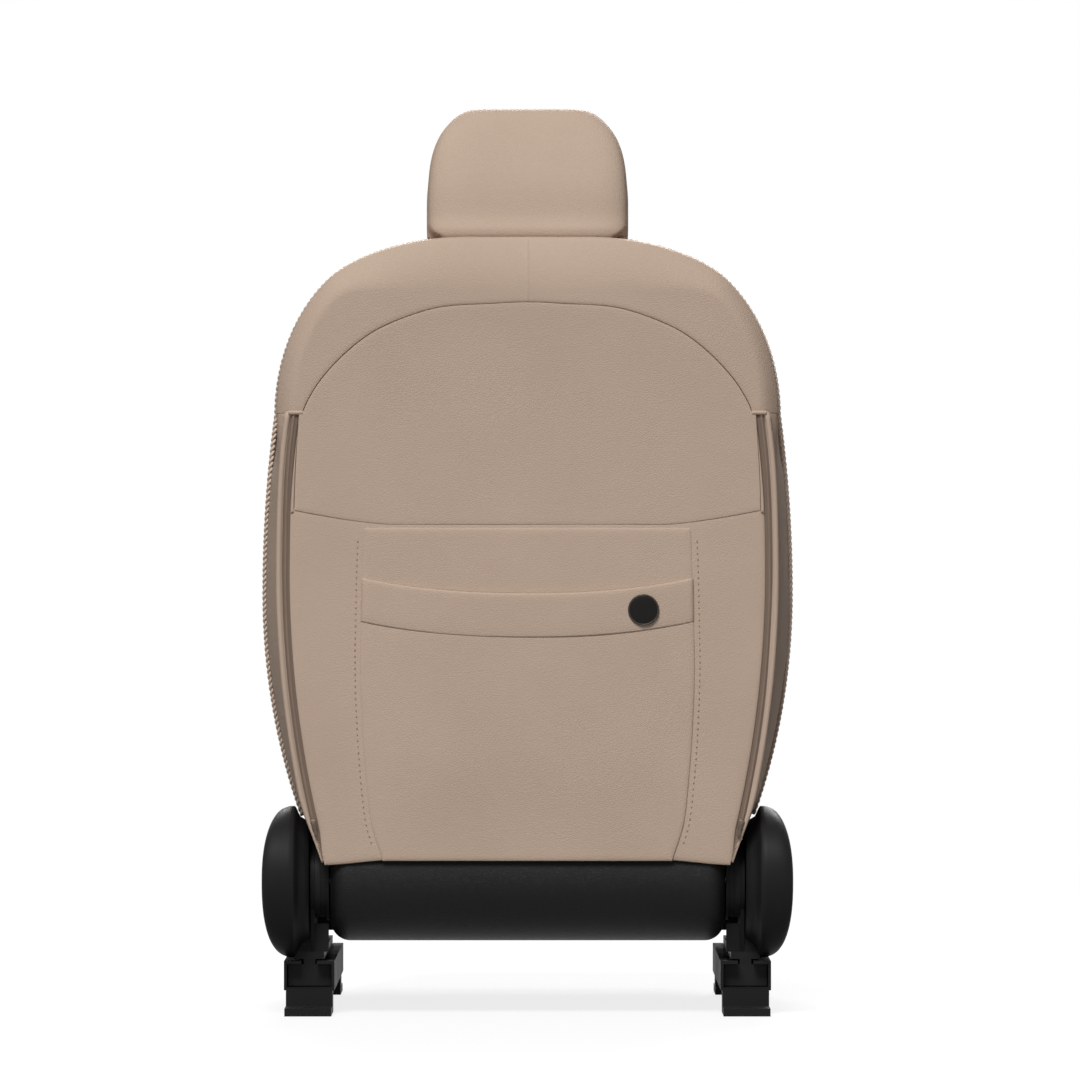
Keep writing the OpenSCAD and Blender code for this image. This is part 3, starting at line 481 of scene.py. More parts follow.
# The zips narrow to almost nothing at the hem
def hem_taper(z):
    return mix(ZIP_TAPER_END, 1, smooth((z - HEM_Z) / ZIP_TAPER))


def inner_zip(z):
    return zip_at(z) - ZIP_W / 2 * hem_taper(z)


# The upper rear leans out a little towards its top, with the square of the height in metres
def lean(z):
    return -LEAN * max(0.0, z - SEAM_Z) ** 2


# Upper rear panel: from the cross seam up its sides to the arch
UPPER_CENTRE = (0, 600 * MM)
UPPER_PROUD = 0.45 * MM
UPPER_SEAM = (0.45 * MM, 1.9 * MM)
upper_low = [(x, cross_z(x)) for x in steps(0, SEAM_HEAD_X, 50)]
upper_side = [(seam_x(z), z) for z in steps(cross_z(SEAM_FOOT_X), arch(0)[1] - 2 * MM, 20)]
upper_arch = [(max(0, arch(q)[0] - 0.6 * MM), arch(q)[1] - 0.8 * MM) for q in steps(0.012, 1, 90)]
panel("rear_panel_upper", upper_low + upper_side + upper_arch, UPPER_CENTRE,
      lambda x, z: REAR_Y - UPPER_PROUD + lean(z) + sway(x, z, 0.5), ("back_cover_rear",), UPPER_SEAM)


# Lower rear panel: its hem drops a little beside the pocket, and it goes under the upper one
def hem_z(x):
    return HEM_Z + HEM_LIFT - HEM_DROP * smooth((abs(x) - HEM_DROP_X) / HEM_DROP_RUN)


# NEAR and FAR: rows that lie close together where the cover rolls into its seams
NEAR = (0, 0.001, 0.0025, 0.0045, 0.007, 0.011, 0.017, 0.026, 0.04)
FAR = [1 - n for n in reversed(NEAR)]
HEM_HALF, CROSS_HALF = 206 * MM, 238 * MM
TUCK = 3 * MM
LOWER_SEAM = (1.4 * MM, 2.2 * MM)
lower_rows = []
for t in list(NEAR) + steps(0.06, 0.94, 60) + FAR:
    row = []
    for u in [-1 + 2 * n for n in NEAR] + steps(-0.9, 0.9, 70) + [1 - 2 * n for n in reversed(NEAR)]:
        z = mix(hem_z(u * HEM_HALF), cross_z(u * CROSS_HALF) + TUCK, t)
        x = u * inner_zip(z)
        edge = min((1 - abs(u)) * inner_zip(z), z - hem_z(x), cross_z(x) + TUCK - z)
        y = REAR_Y + sway(x, z, 0.6, 6.0, 3.0) + dip_at(max(0, edge), LOWER_SEAM)
        row.append(Vector((x, y, z)))
    lower_rows.append(row)
beige_skin("rear_panel_lower", lower_rows, shifted(lower_rows, y=HIDE), ("back_cover_lower",))

# Narrow strips between the upper panel's side seams and the zips, with room for the sliders
STRIP_FOOT = 507 * MM
STRIP_HIDE = 2 * MM
SLIDER_ROOM = 3.5 * MM
for side, name in SIDES:
    rows = []
    for z in steps(STRIP_FOOT, SHOULDER_Z + 1 * MM, 40):
        a, b = seam_x(z) + 0.3 * MM, min(inner_zip(z), slider_x(z) - SLIDER_ROOM)
        low = cross_z(a) - 2.5 * MM
        row = []
        for f in (0, 0.12, 0.3, 0.5, 0.7, 0.88, 1):
            y = REAR_Y - 0.4 * MM + lean(z) + 1.6 * MM * (2 * f - 1) ** 4
            row.append(Vector((side * mix(a, b, f), y, max(z, low))))
        rows.append(row)
    beige_skin("zip_strip_" + name, rows, shifted(rows, y=STRIP_HIDE), ())

# Yoke: flat behind, then rolled over the top and the shoulders, with a seam along its middle and at its edges
SHOULDER_TURN = 22 * MM
SLOPE_Z = 744 * MM
YOKE_SEAM, YOKE_END_SEAM = (0.8 * MM, 1.7 * MM), (1.2 * MM, 1.6 * MM)
YOKE_END_X, YOKE_END_RUN = 251 * MM, 5 * MM
RIDGE, RIDGE_W = 0.45 * MM, 1.1 * MM

# Share of the way to the edge, and of the depth: a slope, a turn over the top and a flat to the piping
SLOPE_WAY, SLOPE_DEPTH, SLOPE_BEND, TURN_DEPTH = 0.93, 0.2, 1.9, 0.4
SLOPE_END = 0.174
ROLL = [(h, SLOPE_DEPTH * h ** SLOPE_BEND) for h in steps(0, SLOPE_WAY, 16)]
ROLL += [(mix(mix(SLOPE_WAY, 1, b), 1, b), mix(mix(SLOPE_END, SLOPE_DEPTH, b), mix(SLOPE_DEPTH, TURN_DEPTH, b), b))
         for b in steps(0, 1, 9)[1:]]
ROLL += [(1, g) for g in steps(TURN_DEPTH, 1, 6)[1:]]
FLAT_T = (0, 0.012, 0.028, 0.05, 0.08, 0.12, 0.18, 0.27, 0.4, 0.55, 0.7, 0.85)

# Places along the arch, from the left shoulder at -1 to the right one at 1, closer at its ends and its middle
NEAR_END, NEAR_MIDDLE = (0.002, 0.005, 0.009), (0.001, 0.0025, 0.004, 0.006, 0.009)
yoke_p = {round(v, 5) for v in steps(-1, 1, 170)}
for s in (-1, 1):
    yoke_p |= {s * (1 - e) for e in NEAR_END} | {s * e for e in NEAR_MIDDLE}
yoke_rows = []
for p in sorted(yoke_p):
    q = 1 - abs(p)
    rear, front = arch(q), pipe_arch(q)
    long = math.hypot(front[0] - rear[0], front[1] - rear[1])
    up = front[1] - rear[1]
    turn = max(0.05, soft_min((SLOPE_Z - rear[1]) / up if up > 2 * MM else 2.0, 1 - SHOULDER_TURN / long))
    y0 = REAR_Y + lean(rear[1])
    y1 = pipe_y(front[1]) - PIPE_R
    places = [(turn * t, 0.0) for t in FLAT_T]
    places += [(mix(turn, 1, h), g) for h, g in ROLL]
    row = [Vector((mix(rear[0], front[0], f), mix(y0, y1, g), mix(rear[1], front[1], f))) for f, g in places]
    start = row[0].copy()
    for v in row:
        dip = dip_at((v - start).length, YOKE_SEAM)
        if abs(p) > 0.9:
            dip += dip_at(v.z - arch(0)[1], YOKE_END_SEAM) * smooth((YOKE_END_X - v.x) / YOKE_END_RUN)
        ridge = RIDGE * math.exp(-((v.x / RIDGE_W) ** 2))
        v.y += dip - ridge + sway(v.x, v.z, 0.4, 8.0, 5.0)
        if p < 0:
            v.x = -v.x
    yoke_rows.append(row)
beige_skin("yoke", yoke_rows, shifted(yoke_rows, y=HIDE, z=-1.5 * MM), ("back_cover_yoke",))


# Lower edge of the side gussets and of the front, cut away round the roll
def clear_z(y):
    d = y - PIVOT.y
    return max(SKIRT_Z, PIVOT.z + math.sqrt(max(0, SWEEP_R ** 2 - d * d)))


# The yoke's section at the shoulder, which the gussets come up to
def shoulder_x(g):
    if g < SLOPE_END:
        h = (g / SLOPE_DEPTH) ** (1 / SLOPE_BEND)
    else:
        h = 1 - (1 - SLOPE_WAY) * max(0, 1 - (g - SLOPE_END) / (TURN_DEPTH - SLOPE_END)) ** 2
    inner, outer = arch(0)[0], pipe_arch(0)[0]
    return mix(inner, outer, mix(1 - SHOULDER_TURN / (outer - inner), 1, h))


# Side gussets, puffed out a little and flat where they meet the shoulder
GUSSET_REAR = REAR_Y + 1.0 * MM
GUSSET_TOP = SHOULDER_Z + 2.5 * MM
GUSSET_PUFF = 3.0 * MM
GUSSET_S = [0, 0.02, 0.05, 0.09] + steps(0.12, 0.45, 9) + steps(0.52, 0.93, 7) + [0.97, 1]
MEET, MEET_RUN = 70 * MM, 64 * MM
for side, name in SIDES:
    rows = []
    for t in steps(0, 1, 90):
        row = []
        for s in GUSSET_S:
            y = mix(GUSSET_REAR, pipe_y(SKIRT_Z) - PIPE_R, s)
            z = mix(clear_z(y), GUSSET_TOP, t)
            y = mix(GUSSET_REAR, pipe_y(z) - PIPE_R, s)
            top = smooth((z - SHOULDER_Z + MEET) / MEET_RUN)
            puff = GUSSET_PUFF * math.sin(math.pi * s) ** 0.8 * smooth(t * 12) + sway(y, z, 0.8, 9.0, side * 4.0)
            inner = zip_at(z) + (ZIP_W / 2 + 1 * MM) * hem_taper(z)
            x = max(inner, mix(mix(inner, side_x(z), s), shoulder_x(0.03 + 0.97 * s) - 0.3 * MM, top))
            row.append(Vector((side * (x + puff * (1 - top)), y, z)))
        rows.append(row)
    beige_skin("side_gusset_" + name, rows, shifted(rows, x=-side * HIDE), ("back_cover_side_" + name,))


# Points of a path, each with the direction there and two directions across it
def frames(path):
    out = []
    u = None
    for i, p in enumerate(path):
        t = (path[min(i + 1, len(path) - 1)] - path[max(i - 1, 0)]).normalized()
        if u is None:
            u = t.cross(Vector((0.1, 1, 0.05))).normalized()
        u = (u - t * u.dot(t)).normalized()
        out.append((p, t, u, t.cross(u)))
    return out


def tube_rings(path, radius, sides):
    rings = []
    for p, t, u, v in frames(path):
        rings.append([p + radius * (math.cos(a) * u + math.sin(a) * v) for a in round_angles(sides)])
    return rings


# Points along a path in space at an even spacing
def evenly(path, spacing):
    out = [path[0]]
    left = spacing
    for a, b in zip(path, path[1:]):
        length = (b - a).length
        at = left
        while at < length:
            out.append(a.lerp(b, at / length))
            at += spacing
        left = at - length
    return out


# Two strands laid round each other, so that the edge shows as beads
def rope(name, path, body, replaced, offset, radius, pitch, sides=7, spacing=1.3 * MM):
    path = evenly(path, spacing)
    points, faces = [], []
    for strand in (0, 1):
        line = []
        for i, (p, t, u, v) in enumerate(frames(path)):
            a = 2 * math.pi * i * spacing / pitch + math.pi * strand
            line.append(p + offset * (math.cos(a) * u + math.sin(a) * v))
        rings = tube_rings(line, radius, sides)
        first = len(points)
        points += [q for ring in rings for q in ring]
        faces += grid_faces(len(rings), sides, first, True)
        for ring, start in ((rings[0], first), (rings[-1], first + (len(rings) - 1) * sides)):
            points.append(sum(ring, Vector()) / sides)
            faces += [(len(points) - 1, start + j, start + (j + 1) % sides) for j in range(sides)]
    mesh_object(name, points, faces, BEIGE_CORD, body, replaced)


# The backrest's piping stands out a little at the sides and comes back to the outline over the top
PIPE_OUT = 1.4 * MM
PIPE_FOOT = SKIRT_Z + 30 * MM
right = [Vector((side_x(z) + PIPE_OUT, pipe_y(z), z)) for z in steps(PIPE_FOOT, SHOULDER_Z, 60)]
for q in steps(0.02, 1, 60):
    x, z = pipe_arch(q)
    right.append(Vector((x + PIPE_OUT * (1 - q) ** 2, pipe_y(z), z)))
pipe_path = [Vector((-p.x, p.y, p.z)) for p in right] + right[-2::-1]
rope("edge_piping", pipe_path, "backrest", ("back_piping",), offset=1.25 * MM, radius=1.6 * MM, pitch=11.8 * MM)


# Small boxes, each at its centre and along its own three directions
def boxes(name, places, half, mat):
    points, faces = [], []
    for centre, ax, ay, az in places:
        first = len(points)
        points += [centre + ax * half[0] * sx + ay * half[1] * sy + az * half[2] * sz
                   for sx in (-1, 1) for sy in (-1, 1) for sz in (-1, 1)]
        for f in ((0, 1, 3, 2), (4, 6, 7, 5), (0, 4, 5, 1), (2, 3, 7, 6), (0, 2, 6, 4), (1, 5, 7, 3)):
            faces.append(tuple(first + k for k in f))
    mesh_object(name, points, faces, mat, "backrest", (), smooth_shade=False)


# Zips, one function for each of their pieces
Y_AXIS = Vector((0, 1, 0))
ZIP_ZS = steps(HEM_Z + 1 * MM, SHOULDER_Z + 1 * MM, 120)
TAPE_HALF, TAPE_IN, TAPE_CURL, TAPE_THICK = 6 * MM, 2.0 * MM, 0.6 * MM, 1.2 * MM
TOOTH, TOOTH_IN, TOOTH_PITCH, TOOTH_SIDE = (0.75 * MM, 0.6 * MM, 0.42 * MM), 1.4 * MM, 1.25 * MM, 0.5 * MM
WELT_R, WELT_IN, WELT_SIDES = 3.0 * MM, 2.2 * MM, 14
WELT_FOOT_X, WELT_X = 1 * MM, 6.7 * MM
WELT_THIN, WELT_THIN_RUN, WELT_THIN_END = 8 * MM, 80 * MM, 0.3
BEND_Z = SHOULDER_Z - 4 * MM
BEND_SIDE, BEND_IN, BEND_RISE = 4 * MM, 1.6 * MM, 3.4 * MM
END_R = 2.3 * MM


def zip_tape(side, name):
    rows = []
    for z in ZIP_ZS:
        y = REAR_Y + lean(z) + TAPE_IN
        rows.append([Vector((side * (zip_at(z) + f * TAPE_HALF * hem_taper(z)), y + TAPE_CURL * abs(f), z))
                     for f in (-1, -0.6, -0.2, 0.2, 0.6, 1)])
    skin("zip_tape_" + name, rows, shifted(rows, y=TAPE_THICK), ZIP_TAPE, "backrest", ("zip_" + name,))


def zip_teeth(side, name):
    line = [Vector((side * zip_at(z), REAR_Y + lean(z) + TOOTH_IN, z)) for z in ZIP_ZS]
    places = []
    for i, p in enumerate(evenly(line, TOOTH_PITCH)):
        t = Vector((-side * (p.z - ZIP_MID_Z) / ZIP_R, 0, 1)).normalized()
        across = t.cross(Y_AXIS)
        places.append((p + across * (TOOTH_SIDE if i % 2 else -TOOTH_SIDE), across, Y_AXIS, t))
    boxes("zip_teeth_" + name, places, TOOTH, ZIP_METAL)


# The welt is thin at the hem, and at the shoulder it bends in under the yoke
def zip_welt(side, name):
    def full(z):
        return smooth((z - HEM_Z + WELT_THIN) / WELT_THIN_RUN)

    line = [Vector((side * (zip_at(z) + mix(WELT_FOOT_X, WELT_X, full(z))), REAR_Y + lean(z) + WELT_IN, z))
            for z in steps(HEM_Z - 1 * MM, BEND_Z, 120)]
    for w in steps(0, math.pi / 2, 8)[1:]:
        x = zip_at(BEND_Z) + WELT_X - BEND_SIDE * (1 - math.cos(w))
        y = REAR_Y + lean(BEND_Z) + WELT_IN + BEND_IN * math.sin(w)
        line.append(Vector((side * x, y, BEND_Z + BEND_RISE * math.sin(w))))
    rings = []
    for p, ring in zip(line, tube_rings(line, WELT_R, WELT_SIDES)):
        share = mix(WELT_THIN_END, 1, full(p.z))
        rings.append([p + (v - p) * share for v in ring])
    loft("zip_welt_" + name, rings, BEIGE, "backrest", ())


def zip_end(side, name):
    line = [Vector((side * x, REAR_Y + lean(SHOULDER_Z) + 1.3 * MM, SHOULDER_Z + 0.6 * MM))
            for x in steps(zip_at(SHOULDER_Z) + 6 * MM, arch(0)[0] - 0.5 * MM, 14)]
    loft("zip_end_" + name, tube_rings(line, END_R, WELT_SIDES), BEIGE, "backrest", ())


# Sections of a slider and of its pull in mm: place along the zip, half width and half depth
SLIDER_Z = 196 * MM
SLIDER_ROWS = ((-5.5, 1.4, 0.7), (-5.1, 2.3, 1.2), (-4, 2.7, 1.5), (0, 2.5, 1.6), (3, 3.0, 1.6), (4.6, 2.9, 1.4),
               (5.5, 2.0, 0.8))
PULL_ROWS = ((3, 0.8, 0.3), (2.5, 1.2, 0.6), (0, 1.1, 0.6), (-4, 1.3, 0.6), (-9, 1.9, 0.65), (-11.5, 1.9, 0.65),
             (-12.6, 1.3, 0.5), (-13, 0.6, 0.3))
SLIDER_OUT, PULL_OUT = 0.6, 2.8


def zip_slider(side, name):
    tilt = math.asin((SLIDER_Z - ZIP_MID_Z) / ZIP_R)
    up = Vector((-side * math.sin(tilt), 0, math.cos(tilt)))
    across = up.cross(Y_AXIS)
    middle = Vector((side * zip_at(SLIDER_Z), REAR_Y + lean(SLIDER_Z), SLIDER_Z))
    body = "zip_slider_" + name
    for part, out, rows, replaced in (("slider", SLIDER_OUT, SLIDER_ROWS, (body,)), ("pull", PULL_OUT, PULL_ROWS, ())):
        rings = []
        for along, wide, deep in rows:
            at = middle + up * along * MM + Vector((0, -out * MM, 0))
            rings.append([at + across * wide * MM * sign_pow(math.cos(a), 0.5)
                          + Y_AXIS * deep * MM * sign_pow(math.sin(a), 0.5) for a in steps(0, 2 * math.pi, 24)[:-1]])
        loft("zip_" + part + "_shown_" + name, rings, ZIP_SLIDER, body, replaced)


for side, name in SIDES:
    zip_tape(side, name)
    zip_teeth(side, name)
    zip_welt(side, name)
    zip_end(side, name)
    zip_slider(side, name)

# Map pocket: backing, panel and band, sewn down along the sides and the hem. Its half width by height, in mm
POCKET_EDGE = [(z * MM, x * MM) for z, x in (
    (158, 148), (166, 150.5), (180, 155.5), (200, 160.8), (240, 165.2), (287, 168.8), (354, 171.3), (405, 170.6),
    (447, 169.8), (500, 168))]
MOUTH_SAG, MOUTH_HALF = 15.6 * MM, 169 * MM
MOUTH_END = 170 * MM
POCKET_PROUD = 1.9 * MM
POCKET_FILL, FILL_SIDE, FILL_FOOT = 3.2 * MM, 80 * MM, 110 * MM
BACKING_PROUD = 1.1 * MM
BACKING_CENTRE, FRONT_CENTRE = (0, 330 * MM), (0, 280 * MM)
BACKING_TOP, BACKING_TOP_X = 500.5 * MM, 166 * MM
BACKING_SEAM, POCKET_SEAM = (1.0 * MM, 1.8 * MM), (1.1 * MM, 1.8 * MM)


def pocket_half(z):
    return curve(POCKET_EDGE, z)


# Height of the sagging mouth, or of a line that lies lower by a given amount
def mouth_z(x, low):
    return POCKET_MOUTH - low - MOUTH_SAG * (1 - min(1, abs(x) / MOUTH_HALF) ** 2.3)


def pocket_face(x, z):
    to_side = pocket_half(z) - abs(x)
    to_foot = z - POCKET_FOOT
    return REAR_Y - POCKET_PROUD - POCKET_FILL * smooth(to_side / FILL_SIDE) * smooth(to_foot / FILL_FOOT)


backing = [(0.0, POCKET_FOOT + 1 * MM), (pocket_half(POCKET_FOOT) - 1 * MM, POCKET_FOOT + 1 * MM)]
backing += [(pocket_half(z) - 0.3 * MM, z) for z in steps(POCKET_FOOT + 4 * MM, BACKING_TOP - 1.5 * MM, 60)]
backing += [(BACKING_TOP_X, BACKING_TOP), (0.0, BACKING_TOP)]
panel("pocket_backing", backing, BACKING_CENTRE, lambda x, z: REAR_Y - BACKING_PROUD, (), BACKING_SEAM)

foot = [(x, POCKET_FOOT - 1.2 * MM) for x in steps(0, pocket_half(POCKET_FOOT), 30)]
edge = [(pocket_half(z), z) for z in steps(POCKET_FOOT + 2 * MM, mouth_z(MOUTH_END, BAND_H) + 1 * MM, 70)]
top = [(x, mouth_z(x, BAND_H) + 4 * MM) for x in steps(MOUTH_END + 0.2 * MM, 0, 50)]
panel("pocket_front", foot + edge + top, FRONT_CENTRE,
      lambda x, z: pocket_face(x, z) + sway(x, z, 0.7, 8.0, 11.0), ("pocket_panel", "pocket_gusset"), POCKET_SEAM)

# The band's upper edge turns in over the mouth, where f is below 0
BAND_PROUD, BAND_THICK = 1.2 * MM, 2.0 * MM
BAND_TURN_IN, BAND_TURN_DOWN = 2.6 * MM, 0.6 * MM
BAND_TOP_SEAM, BAND_LOW_SEAM, BAND_END_SEAM = (0.9 * MM, 1.5 * MM), (0.8 * MM, 5.5 * MM), (1.4 * MM, 1.6 * MM)
band_rows = []
for f in (-1, -0.5, 0, 0.03, 0.07, 0.13, 0.22, 0.35, 0.5, 0.65, 0.78, 0.87, 0.93, 0.97, 1):
    row = []
    for u in steps(-1, 1, 120):
        g = max(f, 0)
        half = pocket_half(mouth_z(MOUTH_END, 0) - g * BAND_H) + 0.2 * MM
        x = u * half
        z = mouth_z(x, g * BAND_H) - (BAND_TURN_DOWN if f < 0 else 0)
        turn = dip_at(g * BAND_H, BAND_TOP_SEAM) + dip_at((1 - g) * BAND_H, BAND_LOW_SEAM)
        y = pocket_face(x, z) - BAND_PROUD + turn + BAND_TURN_IN * max(-f, 0)
        y += dip_at(half - abs(x), BAND_END_SEAM) + sway(x, z, 0.5, 9.0, 21.0)
        row.append(Vector((x, y, z)))
    band_rows.append(row)
beige_skin("pocket_mouth_band", band_rows, shifted(band_rows, y=BAND_THICK), ("pocket_band",))


# Stitches along the pocket's sides. A stitch's sections: share of its length, and of its radius
STITCH_OUT, STITCH_PROUD, STITCH_FOOT, STITCH_TOP = 5.6 * MM, 0.2 * MM, 178 * MM, 497 * MM
STITCH_ROWS = ((-0.5, 0.15), (-0.4, 0.8), (0, 1), (0.4, 0.8), (0.5, 0.15))


def stitches(name, path, pitch, length, radius):
    points, faces = [], []
    path = evenly(path, pitch)
    for a, b in zip(path, path[1:]):
        t = (b - a).normalized()
        u = t.cross(Y_AXIS).normalized()
        first = len(points)
        for f, r in STITCH_ROWS:
            for w in round_angles(6):
                points.append(a + t * length * f + radius * r * (math.cos(w) * u + math.sin(w) * Y_AXIS))
        faces += grid_faces(len(STITCH_ROWS), 6, first, True)
        faces += [tuple(start + k for k in range(6)) for start in (first, len(points) - 6)]
    mesh_object(name, points, faces, THREAD, "backrest", ())


for side, name in SIDES:
    line = [Vector((side * (pocket_half(z) + STITCH_OUT), REAR_Y - STITCH_PROUD, z))
            for z in steps(STITCH_FOOT, STITCH_TOP, 80)]
    stitches("pocket_stitches_" + name, line, pitch=6.2 * MM, length=2.6 * MM, radius=0.75 * MM)


# Turned pieces: a profile of [distance from the axis, height] about an axis
def turned(name, profile, centre, axis, mat, body, replaced, sides=64):
    axis = axis.normalized()
    u = axis.orthogonal().normalized()
    v = axis.cross(u)
    rings = [[centre + axis * h + r * (math.cos(w) * u + math.sin(w) * v) for w in round_angles(sides)]
             for r, h in profile]
    return loft(name, rings, mat, body, replaced)


BADGE_X, BADGE_Z = 119 * MM, 416.4 * MM
RIM_PROFILE = ((15, -1), (16, 0), (16, 1.6), (15.7, 2.1), (15.1, 2.3), (14.5, 2.1), (14.2, 1.5))
FACE_PROFILE = ((14.3, 0.5), (14.2, 1.6), (13.4, 1.75), (9, 1.95), (4, 2.05), (0.5, 2.08))
badge_at = Vector((BADGE_X, pocket_face(BADGE_X, BADGE_Z) - BAND_PROUD, BADGE_Z))
for name, profile, mat, replaced in (("badge_rim", RIM_PROFILE, BADGE_RIM, ("badge",)),
                                     ("badge_face", FACE_PROFILE, BADGE_BLACK, ())):
    turned(name, [(r * MM, h * MM) for r, h in profile], badge_at, -Y_AXIS, mat, "backrest", replaced)

# Headrest: rings in mm, from under it to its crown. Their half width, how far their rear and front lie from the
# posts, and their height at the rear and at the front
POST_Y = -163 * MM
HEAD_RINGS = ((55, -16, 34, 809.5, 809), (84, -19.5, 46, 806, 797), (95, -22, 58, 801, 789.5),
              (99.5, -23.8, 64, 799.2, 787.5), (102.4, -25.4, 67, 800.4, 789), (103.8, -26.2, 69, 804, 794),
              (104.1, -25.4, 70, 809.5, 803), (104.2, -23, 70.8, 815.5, 813), (104.2, -20.9, 71.2, 822.5, 824),
              (104.2, -19.3, 71.2, 832, 834), (104, -17.7, 71, 842, 843), (103.2, -15.3, 70.9, 853, 853),
              (102.2, -12, 70.6, 864, 864), (101, -8, 70.2, 875, 875), (98.6, -3.2, 69.4, 887, 887),
              (95.4, 1.3, 68.3, 897, 897), (91.2, 5.8, 66.8, 906, 906), (86.4, 9.8, 65, 913.5, 913.5),
              (81, 13.7, 62.8, 920, 920), (75.4, 17.6, 60.2, 925.5, 925.5), (69, 21.6, 57, 930, 930),
              (62, 25.4, 53.4, 933, 933), (52, 30, 50, 934.6, 934.6), (34, 35, 46, 935, 935))
# Powers that make a ring round or square, across and along it. The rings grow rounder above CROWN_Z
ROUND, SQUARE = (0.8, 0.75), (0.36, 0.38)
CROWN_Z, CROWN_RUN, CROWN_ROUND = 905, 30, 0.4

# Rounded lower corners of the lip at the rear: centres, radius and how far the face draws in past them
LIP_X, LIP_Z, LIP_R, LIP_IN = 86, 818, 18, 13


def head_ring(half, rear, front, low, high, n=120):
    ring = []
    square = 1 - CROWN_ROUND * smooth((low - CROWN_Z) / CROWN_RUN)
    ex, ey = (mix(a, b, square) for a, b in zip(ROUND, SQUARE))
    for k in range(n):
        a = 2 * math.pi * (k + 0.5) / n
        g = (1 + sign_pow(math.sin(a), ey)) / 2
        x, z = half * sign_pow(math.cos(a), ex), mix(low, high, g)
        past = math.hypot(max(0, abs(x) - LIP_X), max(0, LIP_Z - z)) - LIP_R
        y = mix(rear, front, g) + LIP_IN * smooth((past + 3) / 6) * smooth((abs(x) - LIP_X) / 8) * max(0, 1 - 2 * g)
        ring.append(Vector((x * MM, POST_Y + y * MM, z * MM)))
    return ring


head = loft("headrest", [head_ring(*row) for row in spline_rows(HEAD_RINGS, 72)], BEIGE, "headrest",
            ("headrest_cover", "headrest_foam"))

# Front of the backrest: a middle panel with cross seams between two bolsters
BOLSTER_U = 0.56
FADE_RUN = 200 * MM
FRONT_CHANNELS = (285, 365, 445, 525, 605)
FRONT_BOLSTER_SEAM, FRONT_CHANNEL_SEAM = (4.5 * MM, 7 * MM), (2.6 * MM, 5 * MM)
FRONT_BOLSTER_RISE, FRONT_BOLSTER_RUN = 5.0 * MM, 80 * MM
SHOULDER_F = 0.72


def front_at(u, z, seams):
    fade = 1 - max(0.0, (z - TOP_Z + FADE_RUN) / FADE_RUN) ** 3
    crown = CROWN * (1 - abs(u) ** 4) * (0.15 + 0.85 * fade)
    half = pipe_half(z) - 0.5 * MM
    y = pipe_y(z) + PIPE_R + HIDE + crown
    y -= dip_at(abs(abs(u) - BOLSTER_U) * half, FRONT_BOLSTER_SEAM) * (0.25 + 0.75 * fade)
    if abs(u) > BOLSTER_U:
        f = (abs(u) - BOLSTER_U) / (1 - BOLSTER_U)
        y += FRONT_BOLSTER_RISE * math.sin(math.pi * f) * fade * smooth((z - SKIRT_Z) / FRONT_BOLSTER_RUN)
    elif seams:
        for at in FRONT_CHANNELS:
            y -= dip_at(abs(z - at * MM), FRONT_CHANNEL_SEAM)
    return Vector((u * half, y, z))


def front_piece(name, us, replaced, seams):
    rows = []
    for f in steps(0, 1, 110):
        row = []
        for u in us:
            if f < SHOULDER_F:
                z = mix(clear_z(front_at(u, SKIRT_Z, False).y), SHOULDER_Z, f / SHOULDER_F)
            else:
                a = math.pi / 2 * (f - SHOULDER_F) / (1 - SHOULDER_F)
                z = SHOULDER_Z + (TOP_Z - SHOULDER_Z) * math.sin(a)
            row.append(front_at(u, z, seams))
        rows.append(row)
    piece = beige_skin(name, rows, shifted(rows, y=-HIDE), replaced)


front_piece("front_panel", steps(-BOLSTER_U, BOLSTER_U, 44), ("back_cover_front", "back_foam"), True)
front_piece("front_bolster_left", steps(-1, -BOLSTER_U, 24), ("back_bolster_left",), False)
front_piece("front_bolster_right", steps(BOLSTER_U, 1, 24), ("back_bolster_right",), False)

# Cushion: skirt, crowned top with its own seams, and piping between them
CUSHION_REAR, CUSHION_FRONT = -60 * MM, 370 * MM
CUSHION_LEN = CUSHION_FRONT - CUSHION_REAR
CUSHION_MID = (CUSHION_REAR + CUSHION_FRONT) / 2
CUSHION_HALF = 242 * MM
CUSHION_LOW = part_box("cushion_foam")[0][2]
CUSHION_TOP = 318 * MM
CUSHION_RISE = 22 * MM
CUSHION_PIPE = CUSHION_TOP - 32 * MM


# The cushion rises to its front, and more so higher up
def cushion_rise(y, z):
    return CUSHION_RISE * (z - CUSHION_LOW) / (CUSHION_TOP - CUSHION_LOW) * (y - CUSHION_REAR) / CUSHION_LEN


def cushion_at(inset, z, a):
    y = CUSHION_MID + (CUSHION_LEN / 2 - inset) * sign_pow(math.sin(a), 0.4)
    return Vector(((CUSHION_HALF - inset) * sign_pow(math.cos(a), 0.4), y, z + cushion_rise(y, z)))


# Rows of [inset from the outline, height] in mm: the skirt, the top's rolled edge and its crown
SKIRT_ROWS = ((40, 114), (27, 113), (25.7, 116), (25.7, 138), (20.7, 205), (10, 235), (2, 262), (0.5, 272), (1.2, 280),
              (3.4, 284), (9, 285))
CROWN_START, CROWN_MIDDLE = 24, 238
EDGE_ROWS = spline_rows(((9, 287), (3, 288), (0.8, 290.5), (2.2, 296), (8, 302), (CROWN_START, 306.5)), 14)
CROWN_ROWS = spline_rows(((CROWN_START, 306.5), (70, 313.5), (150, 318), (CROWN_MIDDLE, 318.6)), 33)
SKIRT_SIDES = 180
skirt_rings = [[cushion_at(inset * MM, z * MM, a + math.pi / SKIRT_SIDES) for a in round_angles(SKIRT_SIDES)]
               for inset, z in spline_rows(SKIRT_ROWS, 40)]
skirt = loft("cushion_skirt", skirt_rings, BEIGE, "seat_base", ("cushion_cover_skirt", "cushion_foam"))

